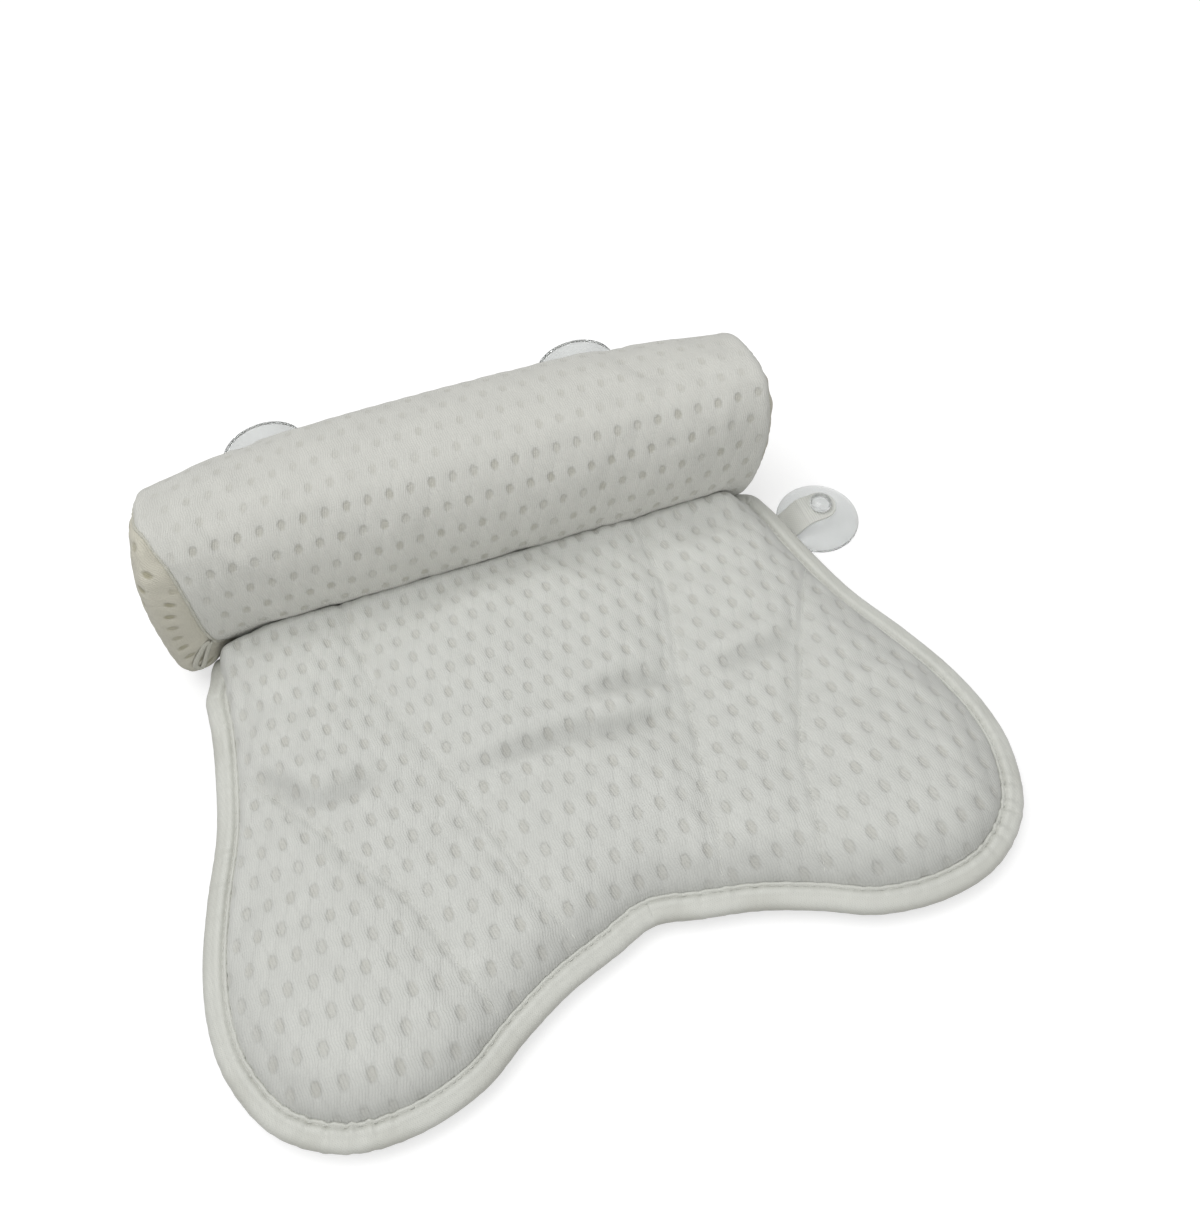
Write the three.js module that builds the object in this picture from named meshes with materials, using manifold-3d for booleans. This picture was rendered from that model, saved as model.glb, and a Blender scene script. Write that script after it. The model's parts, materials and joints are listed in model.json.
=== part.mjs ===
// Bath pillow: a roll-shaped head rest sewn along one seam to a quilted, butterfly-shaped mat,
// held in the bath by suction cups on fabric tabs.
// Millimetres, +Z up, wing tips of the mat towards -Y, the roll behind them.

import * as THREE from "three";
import { mergeVertices } from "three/addons/utils/BufferGeometryUtils.js";
import Module from "manifold-3d";

const wasm = await Module();
wasm.setup();

// General clearances and fineness
const gap = 0.3; // between pieces that touch
const overrun = 20; // how far a cutting tool runs past what it cuts
const outlineSteps = 78;
const sectionSteps = 28;
const cupSteps = 16;

// Mat outline: half of the butterfly, as shares of its half width and depth, from notch to shoulder
const matHalfWidth = 185;
const matDepth = 238.5; // wing tips to seam, on the middle line
const seamSkew = THREE.MathUtils.degToRad(4); // the seam and the roll lie askew by this much
const notchShare = 0.165;
const halfOutlineShares = [
  [0.103, 0.144], [0.238, 0.115], [0.362, 0.073], [0.486, 0.023], [0.654, 0], [0.805, 0.019],
  [0.93, 0.092], [0.992, 0.205], [1, 0.297], [0.978, 0.402], [0.927, 0.519], [0.859, 0.646],
  [0.818, 0.772], [0.8, 0.847],
];
const shoulderShare = 0.784; // of the half width, where the mat meets the roll
const shoulderRoundRight = 14;
const shoulderRoundLeft = 24;

// Edge binding: a folded tape round both panels
const bindingWidth = 10.5;
const bindingHeight = 10;
const bindingFloorGap = 4.5;
const bindingTape = 2.2; // thickness above and below the slot
const bindingFold = 3; // thickness of the fold at the outer edge
const bindingCrestShare = 0.55; // where across its width it is thickest

// Mat layers
const topPanelThickness = 2.5;
const backPanelThickness = 2;
const crownRise = 18.5; // from the binding to the top of the padding
const sideRoll = 34; // how far from the edge the padding reaches its full height
const frontRoll = 62;
const rearRoll = 16;
const frontRollStart = 150; // the padding slopes more gently in front of this depth
const frontRollEnd = 70;
const rearRollStart = 185;
const rearRollEnd = 225;
const sagHeight = 5; // the back panel between the cups
const sagLength = 25; // over which it sinks to that
const fillTopClearance = 1.3;
const fillBackClearance = 1.1;
const fillSideClearance = 3;
const meshSpacing = 20; // of the net of points inside the mat
const meshSpacingShare = 0.6; // how near to the other points an evenly spaced one may be
const meshRings = [0, 6.5]; // rings of points inside the binding
const meshDeepRing = 17;
const meshEdgeGap = 4;
const meshFollowGap = 4.5;
const meshRingGap = 9.5;

// Quilting: the right half's two stitch lines, as shares of the half width and depth
const outerQuiltShares = [
  [0.854, 0.771], [0.762, 0.711], [0.719, 0.665], [0.665, 0.597], [0.6, 0.505], [0.546, 0.43],
  [0.492, 0.354], [0.465, 0.283], [0.443, 0.216], [0.416, 0.153], [0.395, 0.094], [0.378, 0.034],
];
const innerQuiltShares = [
  [0.395, 1.03], [0.395, 0.983], [0.397, 0.899], [0.392, 0.816], [0.378, 0.748], [0.346, 0.665],
  [0.316, 0.597], [0.297, 0.53], [0.278, 0.459], [0.254, 0.388], [0.232, 0.317], [0.208, 0.243],
  [0.178, 0.178], [0.157, 0.117],
];
const quiltDepth = 4.5;
const quiltHalfWidth = 7;
const quiltWall = 1.2; // gap between neighbouring fills
const quiltSteps = 14;
const threadRadius = 0.6;
const threadClearance = 0.4;
const threadEndGap = 10; // from the binding
const threadSides = 5;

// Roll: a soft bolster with domed ends
const rollDepth = 86;
const rollHeight = 95.7;
const rollSquareness = 2.25; // 2 is an ellipse, more is squarer
const rollFront = -13.5; // its front face, from the hinge line
const rollInset = 8; // of its end seams, from the mat's shoulders
const rollOffset = -4; // its middle, from the middle of the mat
const rearTaperShare = 0.15; // how much shallower its ends are
const topTaperShare = 0.03; // how much lower its ends are
const endLift = 3.4; // how far its ends rise off the floor
const endBulge = 13.5;
const endLeanShare = 0.07; // how far the top of an end leans out
const endTurnShare = -0.08; // how far the back of an end leans out
const domeRoundShare = 0.6;
const flatCut = 1.2; // what the floor flattens
const coverThickness = 2.5;
const coreClearance = 0.8;
const rollSteps = 10;
const domeSteps = 4;
const pipingRadius = 0.9;
const pipingSides = 6;

// Hinge: where the roll turns on its seam
const hingeBehind = 2.9; // from the mat's edge
const hingeStripInset = 33; // from the mat's shoulders
const hingeStripThickness = 0.8;
const hingeStripReach = 3; // level part
const hingeStripClearance = 1.5; // from the roll, so that it can fold
const seamHeight = 7.4;

// Suction cups and their tabs
const cupRadius = 21;
const cupRimWidth = 2.8;
const cupRimThickness = 0.9;
const cupHollow = 3.8;
const cupShoulderHeight = 11.2;
const cupShoulderRadius = 6;
const cupNeckRadius = 3.5;
const cupHeadRadius = 5.5;
const cupHeadHeight = 4;
const tabThickness = 1.2;
const tabWidth = 16;
const tabReach = 26.5; // sewn edge to buttonhole
const tabFlat = 8.5; // level round the buttonhole
const shoulderTabRun = 6.5; // what lies under the binding
const liftTop = 12; // the back panel is lifted over a cup's head
const liftFoot = 55;
const liftEdge = 7;

const cupHeight = cupShoulderHeight + gap + tabThickness + gap + cupHeadHeight;
const backClear = cupHeight + 1.2 * gap;
const tabMiddle = cupShoulderHeight + gap + tabThickness / 2;

// Where the cups are: hole of the tab, and the way that the tab points from its sewn edge
const wingCupInset = 57; // from the wing's outer edge
const wingCupY = 62; // from the wing's tip
const shoulderTabInset = 3; // of a shoulder tab's sewn edge
const shoulderCupInset = 34; // from the seam
const rollCupInset = 57; // from the roll's end
const rollCupZ = 34;

const shoulderHalfWidth = shoulderShare * matHalfWidth;
const rollHalfLength = shoulderHalfWidth - rollInset;
const wingCupX = matHalfWidth - wingCupInset;
const shoulderSewnX = shoulderHalfWidth - shoulderTabInset;
const shoulderCupY = matDepth - shoulderCupInset;
const cupPlaces = [
  { name: "wing_left", x: -wingCupX, y: wingCupY, turn: Math.PI, under: true },
  { name: "wing_right", x: wingCupX, y: wingCupY, turn: 0, under: true },
  { name: "shoulder_left", x: tabReach - shoulderSewnX, y: shoulderCupY, turn: 0, under: true, run: true },
  { name: "shoulder_right", x: tabReach + shoulderSewnX, y: shoulderCupY, turn: 0, under: false, run: true },
];

// Materials
const meshFabric = new THREE.MeshStandardMaterial({ color: 0xcdcfc8, roughness: 0.9, metalness: 0 });
const backFabric = new THREE.MeshStandardMaterial({ color: 0xd6d7d2, roughness: 0.95, metalness: 0 });
const tapeFabric = new THREE.MeshStandardMaterial({ color: 0xdcddd8, roughness: 0.7, metalness: 0 });
const threadWhite = new THREE.MeshStandardMaterial({ color: 0xdedfda, roughness: 0.8, metalness: 0 });
const fibreFill = new THREE.MeshStandardMaterial({ color: 0xf0f0ee, roughness: 1, metalness: 0 });
const clearVinyl = new THREE.MeshStandardMaterial({ color: 0xbcc0c0, roughness: 0.2, metalness: 0 });

const { lerp, smoothstep } = THREE.MathUtils;

// Turns loose triangles of vertex numbers into a closed mesh whose faces point out
function closedGeometry(vertices, triangles) {
  const volume = triangles.reduce((sum, [a, b, c]) => {
    const normal = new THREE.Vector3().crossVectors(vertices[b], vertices[c]);
    return sum + vertices[a].dot(normal);
  }, 0);
  const turned = volume < 0 ? triangles.map(([a, b, c]) => [a, c, b]) : triangles;
  const geometry = new THREE.BufferGeometry();
  const numbers = vertices.flatMap((v) => [v.x, v.y, v.z]);
  geometry.setAttribute("position", new THREE.Float32BufferAttribute(numbers, 3));
  geometry.setIndex(turned.flat());
  return geometry;
}

// Joins rings of points into a skin. A loop closes on its first ring, otherwise both ends are capped.
function loft(rings, isLoop = false) {
  const around = rings[0].length;
  const vertices = rings.flat();
  const triangles = [];
  const bands = isLoop ? rings.length : rings.length - 1;
  for (let i = 0; i < bands; i++) {
    const near = i * around;
    const far = ((i + 1) % rings.length) * around;
    for (let j = 0; j < around; j++) {
      const next = (j + 1) % around;
      triangles.push([near + j, near + next, far + next], [near + j, far + next, far + j]);
    }
  }
  if (!isLoop) {
    for (const first of [0, (rings.length - 1) * around]) {
      const ring = vertices.slice(first, first + around);
      const middle = ring.reduce((sum, v) => sum.add(v), new THREE.Vector3()).divideScalar(around);
      vertices.push(middle);
      for (let j = 0; j < around; j++) {
        const edge = [first + j, first + ((j + 1) % around)];
        if (first === 0) edge.reverse();
        triangles.push([vertices.length - 1, ...edge]);
      }
    }
  }
  return closedGeometry(vertices, triangles);
}

function toSolid(geometry) {
  const bare = geometry.clone();
  bare.deleteAttribute("normal");
  bare.deleteAttribute("uv");
  const merged = mergeVertices(bare);
  const mesh = new wasm.Mesh({
    numProp: 3,
    vertProperties: new Float32Array(merged.attributes.position.array),
    triVerts: new Uint32Array(merged.index.array),
  });
  return new wasm.Manifold(mesh);
}

function fromSolid(solid) {
  const mesh = solid.getMesh();
  const geometry = new THREE.BufferGeometry();
  geometry.setAttribute("position", new THREE.Float32BufferAttribute(mesh.vertProperties, 3));
  geometry.setIndex(Array.from(mesh.triVerts));
  return geometry;
}

function piece(name, geometry, material) {
  const mesh = new THREE.Mesh(geometry, material.clone());
  mesh.name = name;
  return mesh;
}

// A flat outline pushed up along Z
function prism(points, from, to) {
  const shape = new THREE.Shape(points.map((p) => new THREE.Vector2(p.x, p.y)));
  const geometry = new THREE.ExtrudeGeometry(shape, { depth: to - from, bevelEnabled: false });
  return geometry.translate(0, 0, from);
}

// The two sides of a line of points, at a distance from it, as one closed outline
function ribbonOutline(points, halfWidth) {
  const shifted = (side) => points.map((p, i) => {
    const before = points[Math.max(i - 1, 0)];
    const after = points[Math.min(i + 1, points.length - 1)];
    const along = after.clone().sub(before).normalize();
    const first = p.clone().sub(before).normalize();
    const stretch = i > 0 && i < points.length - 1 ? 1 / Math.max(first.dot(along), 0.5) : 1;
    return new THREE.Vector2(-along.y, along.x).multiplyScalar(side * halfWidth * stretch).add(p);
  });
  return [...shifted(-1), ...shifted(1).reverse()];
}

function distanceToLine(x, y, points, isLoop) {
  let least = Infinity;
  const count = isLoop ? points.length : points.length - 1;
  for (let i = 0; i < count; i++) {
    const a = points[i];
    const b = points[(i + 1) % points.length];
    const dx = b.x - a.x;
    const dy = b.y - a.y;
    const share = THREE.MathUtils.clamp(((x - a.x) * dx + (y - a.y) * dy) / (dx * dx + dy * dy), 0, 1);
    least = Math.min(least, Math.hypot(x - a.x - share * dx, y - a.y - share * dy));
  }
  return least;
}

function isInside(x, y, points) {
  let inside = false;
  points.forEach((a, i) => {
    const b = points[(i + 1) % points.length];
    const crosses = a.y > y !== b.y > y && x < a.x + ((b.x - a.x) * (y - a.y)) / (b.y - a.y);
    if (crosses) inside = !inside;
  });
  return inside;
}

// Mat outline

function seamLine(x) {
  return matDepth - x * Math.tan(seamSkew);
}

function shoulderCorner(side, round) {
  const roundShare = 1 - Math.SQRT1_2;
  return [[0, 1], [roundShare, roundShare], [1, 0]].map(([inShare, downShare]) => {
    const x = side * (shoulderHalfWidth - inShare * round);
    return new THREE.Vector3(x, seamLine(x) - downShare * round, 0);
  });
}

function matOutline() {
  const side = (sign) => halfOutlineShares.map(
    ([x, y]) => new THREE.Vector3(sign * x * matHalfWidth, y * matDepth, 0));
  const seamPoints = [0.75, 0.4, 0, -0.4, -0.75].map((share) => {
    const x = share * shoulderHalfWidth;
    return new THREE.Vector3(x, seamLine(x), 0);
  });
  const points = [
    new THREE.Vector3(0, notchShare * matDepth, 0), ...side(1), ...shoulderCorner(1, shoulderRoundRight),
    ...seamPoints, ...shoulderCorner(-1, shoulderRoundLeft).reverse(), ...side(-1).reverse(),
  ];
  const curve = new THREE.CatmullRomCurve3(points, true, "centripetal");
  return curve.getSpacedPoints(outlineSteps).slice(0, -1);
}

const outline = matOutline();
const inwards = outline.map((p, i) => {
  const along = outline[(i + 1) % outline.length].clone();
  along.sub(outline[(i + outline.length - 1) % outline.length]).normalize();
  return new THREE.Vector3(-along.y, along.x, 0);
});

function outlineInset(distance) {
  return outline.map((p, i) => p.clone().addScaledVector(inwards[i], distance));
}

// Quilting lines, each from the mat's back or side edge to its front edge

function quiltLine(shares, side) {
  const points = shares.map(([x, y]) => new THREE.Vector3(side * x * matHalfWidth, y * matDepth, 0));
  return new THREE.CatmullRomCurve3(points, false, "centripetal").getSpacedPoints(quiltSteps);
}

const quiltLines = {
  wing_left: quiltLine(outerQuiltShares, -1),
  left: quiltLine(innerQuiltShares, -1),
  right: quiltLine(innerQuiltShares, 1),
  wing_right: quiltLine(outerQuiltShares, 1),
};

// How far a place is inside the mat's outer edge
function depthInside(x, y) {
  return isInside(x, y, outline) ? distanceToLine(x, y, outline, true) : 0;
}

// Heights of the mat's layers

const bindingTop = bindingFloorGap + bindingHeight;
const slotBottom = bindingFloorGap + bindingTape + gap / 2;
const slotTop = bindingTop - bindingTape;
const backEdge = slotBottom + gap;
const topEdge = slotTop - gap;
const bindingInner = bindingWidth + gap;

function insideBinding(x, y) {
  return Math.max(depthInside(x, y) - bindingInner, 0);
}

function quiltDip(x, y) {
  const nearest = Math.min(...Object.values(quiltLines).map((line) => distanceToLine(x, y, line, false)));
  return quiltDepth * Math.exp(-((nearest / quiltHalfWidth) ** 2));
}

function rollLength(y) {
  const front = lerp(sideRoll, frontRoll, 1 - smoothstep(y, frontRollEnd, frontRollStart));
  return lerp(front, rearRoll, smoothstep(y, rearRollStart, rearRollEnd));
}

function topHeight(x, y) {
  const share = Math.min(insideBinding(x, y) / rollLength(y), 1);
  const swell = Math.sqrt(1 - (1 - share) ** 2);
  return topEdge + crownRise * swell - quiltDip(x, y) * swell;
}

function backHeight(x, y) {
  const inside = insideBinding(x, y);
  const sag = lerp(backEdge, sagHeight, smoothstep(inside, 0, sagLength));
  const lifts = cupPlaces.filter((cup) => cup.under).map(
    (cup) => 1 - smoothstep(Math.hypot(x - cup.x, y - cup.y), liftTop, liftFoot));
  return lerp(sag, backClear, Math.max(...lifts) * smoothstep(inside, 0, liftEdge));
}

// A net of triangles over points, each triangle's circle holding no other point
function netOver(points) {
  const size = 4 * (matHalfWidth + matDepth);
  const corners = [[-size, -size], [size, -size], [0, size]].map(([x, y]) => new THREE.Vector3(x, y, 0));
  const all = [...points, ...corners];
  const withCircle = (a, b, c) => {
    const [p, q, r] = [all[a], all[b], all[c]];
    const d = 2 * (p.x * (q.y - r.y) + q.x * (r.y - p.y) + r.x * (p.y - q.y));
    const [pp, qq, rr] = [p, q, r].map((v) => v.x * v.x + v.y * v.y);
    const x = (pp * (q.y - r.y) + qq * (r.y - p.y) + rr * (p.y - q.y)) / d;
    const y = (pp * (r.x - q.x) + qq * (p.x - r.x) + rr * (q.x - p.x)) / d;
    return { corners: [a, b, c], x, y, radius: Math.hypot(p.x - x, p.y - y) };
  };
  let triangles = [withCircle(points.length, points.length + 1, points.length + 2)];
  points.forEach((point, i) => {
    const edges = new Map();
    triangles = triangles.filter((t) => {
      if (Math.hypot(point.x - t.x, point.y - t.y) >= t.radius) return true;
      t.corners.forEach((a, k) => {
        const b = t.corners[(k + 1) % 3];
        const back = `${b},${a}`;
        if (!edges.delete(back)) edges.set(`${a},${b}`, [a, b]);
      });
      return false;
    });
    edges.forEach(([a, b]) => triangles.push(withCircle(a, b, i)));
  });
  return triangles.map((t) => t.corners).filter((t) => t.every((corner) => corner < points.length));
}

// A net over a panel: its edge, rings inside the binding, then what it follows, one deeper ring, and
// evenly spaced points
function panelNet(rings, followed) {
  const edge = outlineInset(bindingFold + gap);
  const points = [...edge, ...rings.flatMap((ring) => outlineInset(bindingInner + ring))];
  const least = bindingInner + rings[rings.length - 1] + meshEdgeGap;
  const addWhereFree = (p, clear) => {
    const isFree = depthInside(p.x, p.y) > least && points.every((q) => p.distanceTo(q) > clear);
    if (isFree) points.push(p);
  };
  followed.forEach((p) => addWhereFree(p, meshFollowGap));
  outlineInset(bindingInner + meshDeepRing).forEach((p) => addWhereFree(p, meshRingGap));
  let row = 0;
  for (let y = 0; y < seamLine(-matHalfWidth); y += meshSpacing * Math.sqrt(0.75)) {
    const shift = row++ % 2 ? meshSpacing / 2 : 0;
    for (let x = -matHalfWidth + shift; x < matHalfWidth; x += meshSpacing) {
      addWhereFree(new THREE.Vector3(x, y, 0), meshSpacingShare * meshSpacing);
    }
  }
  const triangles = netOver(points).filter(([a, b, c]) => {
    const middle = points[a].clone().add(points[b]).add(points[c]).divideScalar(3);
    return isInside(middle.x, middle.y, edge);
  });
  return { points, triangles };
}

// Points along each quilting line and on both sides of its channel
function quiltPoints() {
  return Object.values(quiltLines).flatMap((line) => line.flatMap((p, i) => {
    const along = line[Math.min(i + 1, line.length - 1)].clone().sub(line[Math.max(i - 1, 0)]).normalize();
    const across = new THREE.Vector3(-along.y, along.x, 0);
    return [0, quiltHalfWidth, -quiltHalfWidth].map((offset) => p.clone().addScaledVector(across, offset));
  }));
}

// Points round each cup under the mat, where the back panel is lifted over it
function liftPoints() {
  return cupPlaces.filter((cup) => cup.under).flatMap((cup) => {
    const middle = new THREE.Vector3(cup.x, cup.y, 0);
    const ring = (radius, count) => Array.from({ length: count }, (_, k) => {
      const angle = (2 * Math.PI * k) / count;
      return new THREE.Vector3(Math.cos(angle), Math.sin(angle), 0).multiplyScalar(radius).add(middle);
    });
    return [middle, ...ring(liftTop, 6), ...ring(tabReach, 10)];
  });
}

const topNet = panelNet(meshRings, quiltPoints());
const backNet = panelNet([0], liftPoints());

// A layer of the mat: a net between two heights, walled round its edge
function layer(net, top, bottom) {
  const count = net.points.length;
  const raised = (height) => net.points.map((p) => new THREE.Vector3(p.x, p.y, height(p.x, p.y)));
  const edges = new Map();
  net.triangles.forEach((t) => t.forEach((a, k) => {
    const b = t[(k + 1) % 3];
    if (!edges.delete(`${b},${a}`)) edges.set(`${a},${b}`, [a, b]);
  }));
  const walls = [...edges.values()].flatMap(([a, b]) => [[a, a + count, b + count], [a, b + count, b]]);
  const under = net.triangles.map(([a, b, c]) => [a + count, c + count, b + count]);
  return closedGeometry([...raised(top), ...raised(bottom)], [...net.triangles, ...walls, ...under]);
}

// The height of a net's flat triangles at a place
function heightOn(net, height, x, y) {
  const place = new THREE.Vector3(x, y, 0);
  for (const corners of net.triangles) {
    const [a, b, c] = corners.map((corner) => net.points[corner]);
    const shares = THREE.Triangle.getBarycoord(place, a, b, c, new THREE.Vector3());
    if (shares && Math.min(shares.x, shares.y, shares.z) > -1e-6) {
      return shares.x * height(a.x, a.y) + shares.y * height(b.x, b.y) + shares.z * height(c.x, c.y);
    }
  }
  return height(x, y);
}

// Mat pieces

function matPanels() {
  const top = layer(topNet, topHeight, (x, y) => topHeight(x, y) - topPanelThickness);
  const back = layer(backNet, (x, y) => backHeight(x, y) + backPanelThickness, backHeight);
  return [piece("mat_top_panel", top, meshFabric), piece("mat_back_panel", back, backFabric)];
}

function matFills() {
  const top = (x, y) => topHeight(x, y) - topPanelThickness - fillTopClearance;
  const bottom = (x, y) => backHeight(x, y) + backPanelThickness + fillBackClearance;
  const high = bindingTop + crownRise + overrun;
  const plan = prism(outlineInset(bindingInner + fillSideClearance), -overrun, high);
  let fill = toSolid(layer(topNet, top, () => -overrun))
    .intersect(toSolid(layer(backNet, () => high, bottom)))
    .intersect(toSolid(plan));
  Object.values(quiltLines).forEach((line) => {
    const flat = line.map((p) => new THREE.Vector2(p.x, p.y));
    fill = fill.subtract(toSolid(prism(ribbonOutline(flat, quiltWall / 2), -overrun, high)));
  });
  const middleX = (solid) => {
    const box = solid.boundingBox();
    return (box.min[0] + box.max[0]) / 2;
  };
  const names = ["wing_left", "left", "centre", "right", "wing_right"];
  const parts = fill.decompose().sort((a, b) => middleX(a) - middleX(b));
  return parts.map((solid, i) => piece(`mat_fill_${names[i]}`, fromSolid(solid), fibreFill));
}

function matBinding() {
  const middle = bindingFloorGap + bindingHeight / 2;
  const crest = bindingCrestShare * bindingWidth;
  const shoulder = 0.15 * bindingWidth;
  const lip = 0.85 * bindingHeight / 2;
  const haunch = 0.66 * bindingHeight / 2;
  const section = [
    [bindingWidth, middle + lip], [crest, bindingTop], [shoulder, middle + haunch], [0, middle],
    [shoulder, middle - haunch], [crest, bindingFloorGap], [bindingWidth, middle - lip],
    [bindingWidth, slotBottom], [bindingFold, slotBottom], [bindingFold, slotTop], [bindingWidth, slotTop],
  ];
  const rings = outline.map((p, i) => section.map(
    ([inset, z]) => p.clone().addScaledVector(inwards[i], inset).setZ(z)));
  return piece("mat_edge_binding", loft(rings, true), tapeFabric);
}

// One stitched thread, lying on the top panel in its channel
function quiltThread(name, line) {
  const deep = bindingInner + threadEndGap;
  const halfway = line.slice(1).map((p, i) => p.clone().lerp(line[i], 0.5));
  const close = line.flatMap((p, i) => (i < halfway.length ? [p, halfway[i]] : [p]));
  const on = close.filter((p) => depthInside(p.x, p.y) > deep);
  const rings = on.map((p, i) => {
    const [before, after] = [on[Math.max(i - 1, 0)], on[Math.min(i + 1, on.length - 1)]];
    const along = after.clone().sub(before).normalize();
    const across = new THREE.Vector3(-along.y, along.x, 0).multiplyScalar(threadRadius);
    const near = [p, p.clone().lerp(before, 0.4), p.clone().lerp(after, 0.4)];
    const under = near.flatMap((q) => [q, q.clone().add(across), q.clone().sub(across)]);
    const skin = Math.max(...under.map((q) => heightOn(topNet, topHeight, q.x, q.y)));
    const z = skin + threadClearance + threadRadius;
    return Array.from({ length: threadSides }, (_, k) => {
      const angle = (2 * Math.PI * k) / threadSides;
      const out = threadRadius * Math.cos(angle);
      const up = threadRadius * Math.sin(angle);
      return new THREE.Vector3(p.x - along.y * out, p.y + along.x * out, z + up);
    });
  });
  return piece(`quilt_seam_${name}`, loft(rings), threadWhite);
}

// Roll: a point on its skin, inset by a distance, from around its section and along its length

function rollSection(angle, inset) {
  const power = (value) => Math.sign(value) * Math.abs(value) ** (2 / rollSquareness);
  const across = (rollDepth / 2 - inset) * power(Math.cos(angle));
  return [across, (rollHeight / 2 - inset) * power(Math.sin(angle))];
}

function rollPoint(angle, along, inset) {
  const [across, up] = rollSection(angle, inset);
  const depthShare = 1 - rearTaperShare * along * along;
  const heightShare = 1 - topTaperShare * along * along;
  const lean = along ** 3 * (endLeanShare * up + endTurnShare * across);
  const z = (up + rollHeight / 2) * heightShare + endLift * along ** 4 - flatCut;
  return new THREE.Vector3(
    rollOffset + along * rollHalfLength + lean,
    rollFront + (across + rollDepth / 2) * depthShare,
    inset > 0 ? z : Math.max(z, 0));
}

function rollRing(along, inset) {
  const angle = (2 * Math.PI) / sectionSteps;
  return Array.from({ length: sectionSteps }, (_, k) => rollPoint(k * angle, along, inset));
}

// A ring of the domed end, drawn in towards its middle and pushed out
function domeRing(side, share, inset, bulge, shift) {
  const ring = rollRing(side, inset);
  const middle = ring.reduce((sum, v) => sum.add(v), new THREE.Vector3()).divideScalar(ring.length);
  const keep = Math.cos((share * Math.PI) / 2) ** domeRoundShare;
  const out = side * (bulge * Math.sin((share * Math.PI) / 2) + shift);
  return ring.map((v) => v.lerp(middle, 1 - keep).add(new THREE.Vector3(out, 0, 0)));
}

function domeRings(side, inset, bulge, shift) {
  const shares = Array.from({ length: domeSteps + 1 }, (_, k) => (k / domeSteps) * 0.97);
  return shares.map((share) => domeRing(side, share, inset, bulge, shift));
}

function rollStations() {
  return Array.from({ length: rollSteps + 1 }, (_, k) => Math.sin(((k / rollSteps - 0.5) * Math.PI)));
}

function rollCover() {
  const stations = rollStations();
  const outer = stations.map((along) => rollRing(along, 0));
  const inner = stations.reverse().map((along) => rollRing(along, coverThickness));
  return piece("bolster_cover", loft([...outer, ...inner], true), meshFabric);
}

function rollEndPanel(name, side) {
  const outer = domeRings(side, 0, endBulge, gap).reverse();
  const inner = domeRings(side, coverThickness, endBulge - coverThickness, gap);
  return piece(`bolster_end_panel_${name}`, loft([...outer, ...inner]), meshFabric);
}

function rollCore() {
  const inset = coverThickness + coreClearance;
  const bulge = endBulge - inset;
  const rings = [
    ...domeRings(-1, inset, bulge, 0).reverse(),
    ...rollStations().slice(1, -1).map((along) => rollRing(along, inset)),
    ...domeRings(1, inset, bulge, 0),
  ];
  return piece("bolster_core", loft(rings), fibreFill);
}

// Piping sewn round the joint between the cover and an end panel
function rollPiping(name, side) {
  const centre = rollRing(side, -pipingRadius - 1.5 * gap);
  const skin = rollRing(side, 0);
  const rings = centre.map((c, i) => {
    const out = c.clone().sub(skin[i]).normalize();
    c.x += (side * gap) / 2;
    return Array.from({ length: pipingSides }, (_, k) => {
      const angle = (2 * Math.PI * k) / pipingSides;
      return c.clone().addScaledVector(out, pipingRadius * Math.cos(angle))
        .add(new THREE.Vector3(pipingRadius * Math.sin(angle), 0, 0));
    });
  });
  return piece(`bolster_end_piping_${name}`, loft(rings, true), tapeFabric);
}

// The skin at the front of the roll's middle, at a height
function rollFrontAt(height) {
  const up = height + flatCut - rollHeight / 2;
  const across = (1 - Math.abs((2 * up) / rollHeight) ** rollSquareness) ** (1 / rollSquareness);
  return rollFront + (rollDepth / 2) * (1 - across);
}

// A strip of cloth: a line in length and height, with a thickness, as wide as given
function strip(points, thickness, width) {
  const flat = points.map(([x, z]) => new THREE.Vector2(x, z));
  const geometry = prism(ribbonOutline(flat, thickness / 2), -width / 2, width / 2);
  return geometry.rotateX(Math.PI / 2);
}

function hingeStrip() {
  const level = bindingFloorGap - gap - hingeStripThickness / 2;
  const turn = -hingeBehind - bindingCrestShare * bindingWidth;
  const end = rollFrontAt(seamHeight) - hingeStripClearance;
  const profile = [[turn - hingeStripReach, level], [turn, level], [end, seamHeight]];
  const length = 2 * (shoulderHalfWidth - hingeStripInset);
  const geometry = strip(profile, hingeStripThickness, length);
  return piece("hinge_strip", geometry.rotateZ(Math.PI / 2), tapeFabric);
}

// Cup and tab, standing on the rim at Z = 0, the tab running in from -X to the neck

function suctionCup(name) {
  const fallShares = [[0.92, 0.23], [0.72, 0.5], [0.45, 0.82]];
  const neckTop = cupShoulderHeight + gap + tabThickness + gap;
  const headShares = [[1, 0], [1, 0.5], [0.6, 1]];
  const profile = [
    [0, cupHollow], [0.5 * cupRadius, 0.8 * cupHollow],
    [cupRadius - cupRimWidth, 0], [cupRadius, 0], [cupRadius, cupRimThickness],
    ...fallShares.map(([r, z]) => [r * cupRadius, z * cupShoulderHeight]),
    [cupShoulderRadius, cupShoulderHeight - gap], [cupNeckRadius, cupShoulderHeight],
    [cupNeckRadius, neckTop],
    ...headShares.map(([r, z]) => [r * cupHeadRadius, neckTop + z * cupHeadHeight]), [0, cupHeight],
  ];
  const lathe = new THREE.LatheGeometry(profile.map(([r, z]) => new THREE.Vector2(r, z)), cupSteps);
  lathe.rotateX(Math.PI / 2);
  return piece(`suction_cup_${name}`, fromSolid(toSolid(lathe)), clearVinyl);
}

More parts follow.
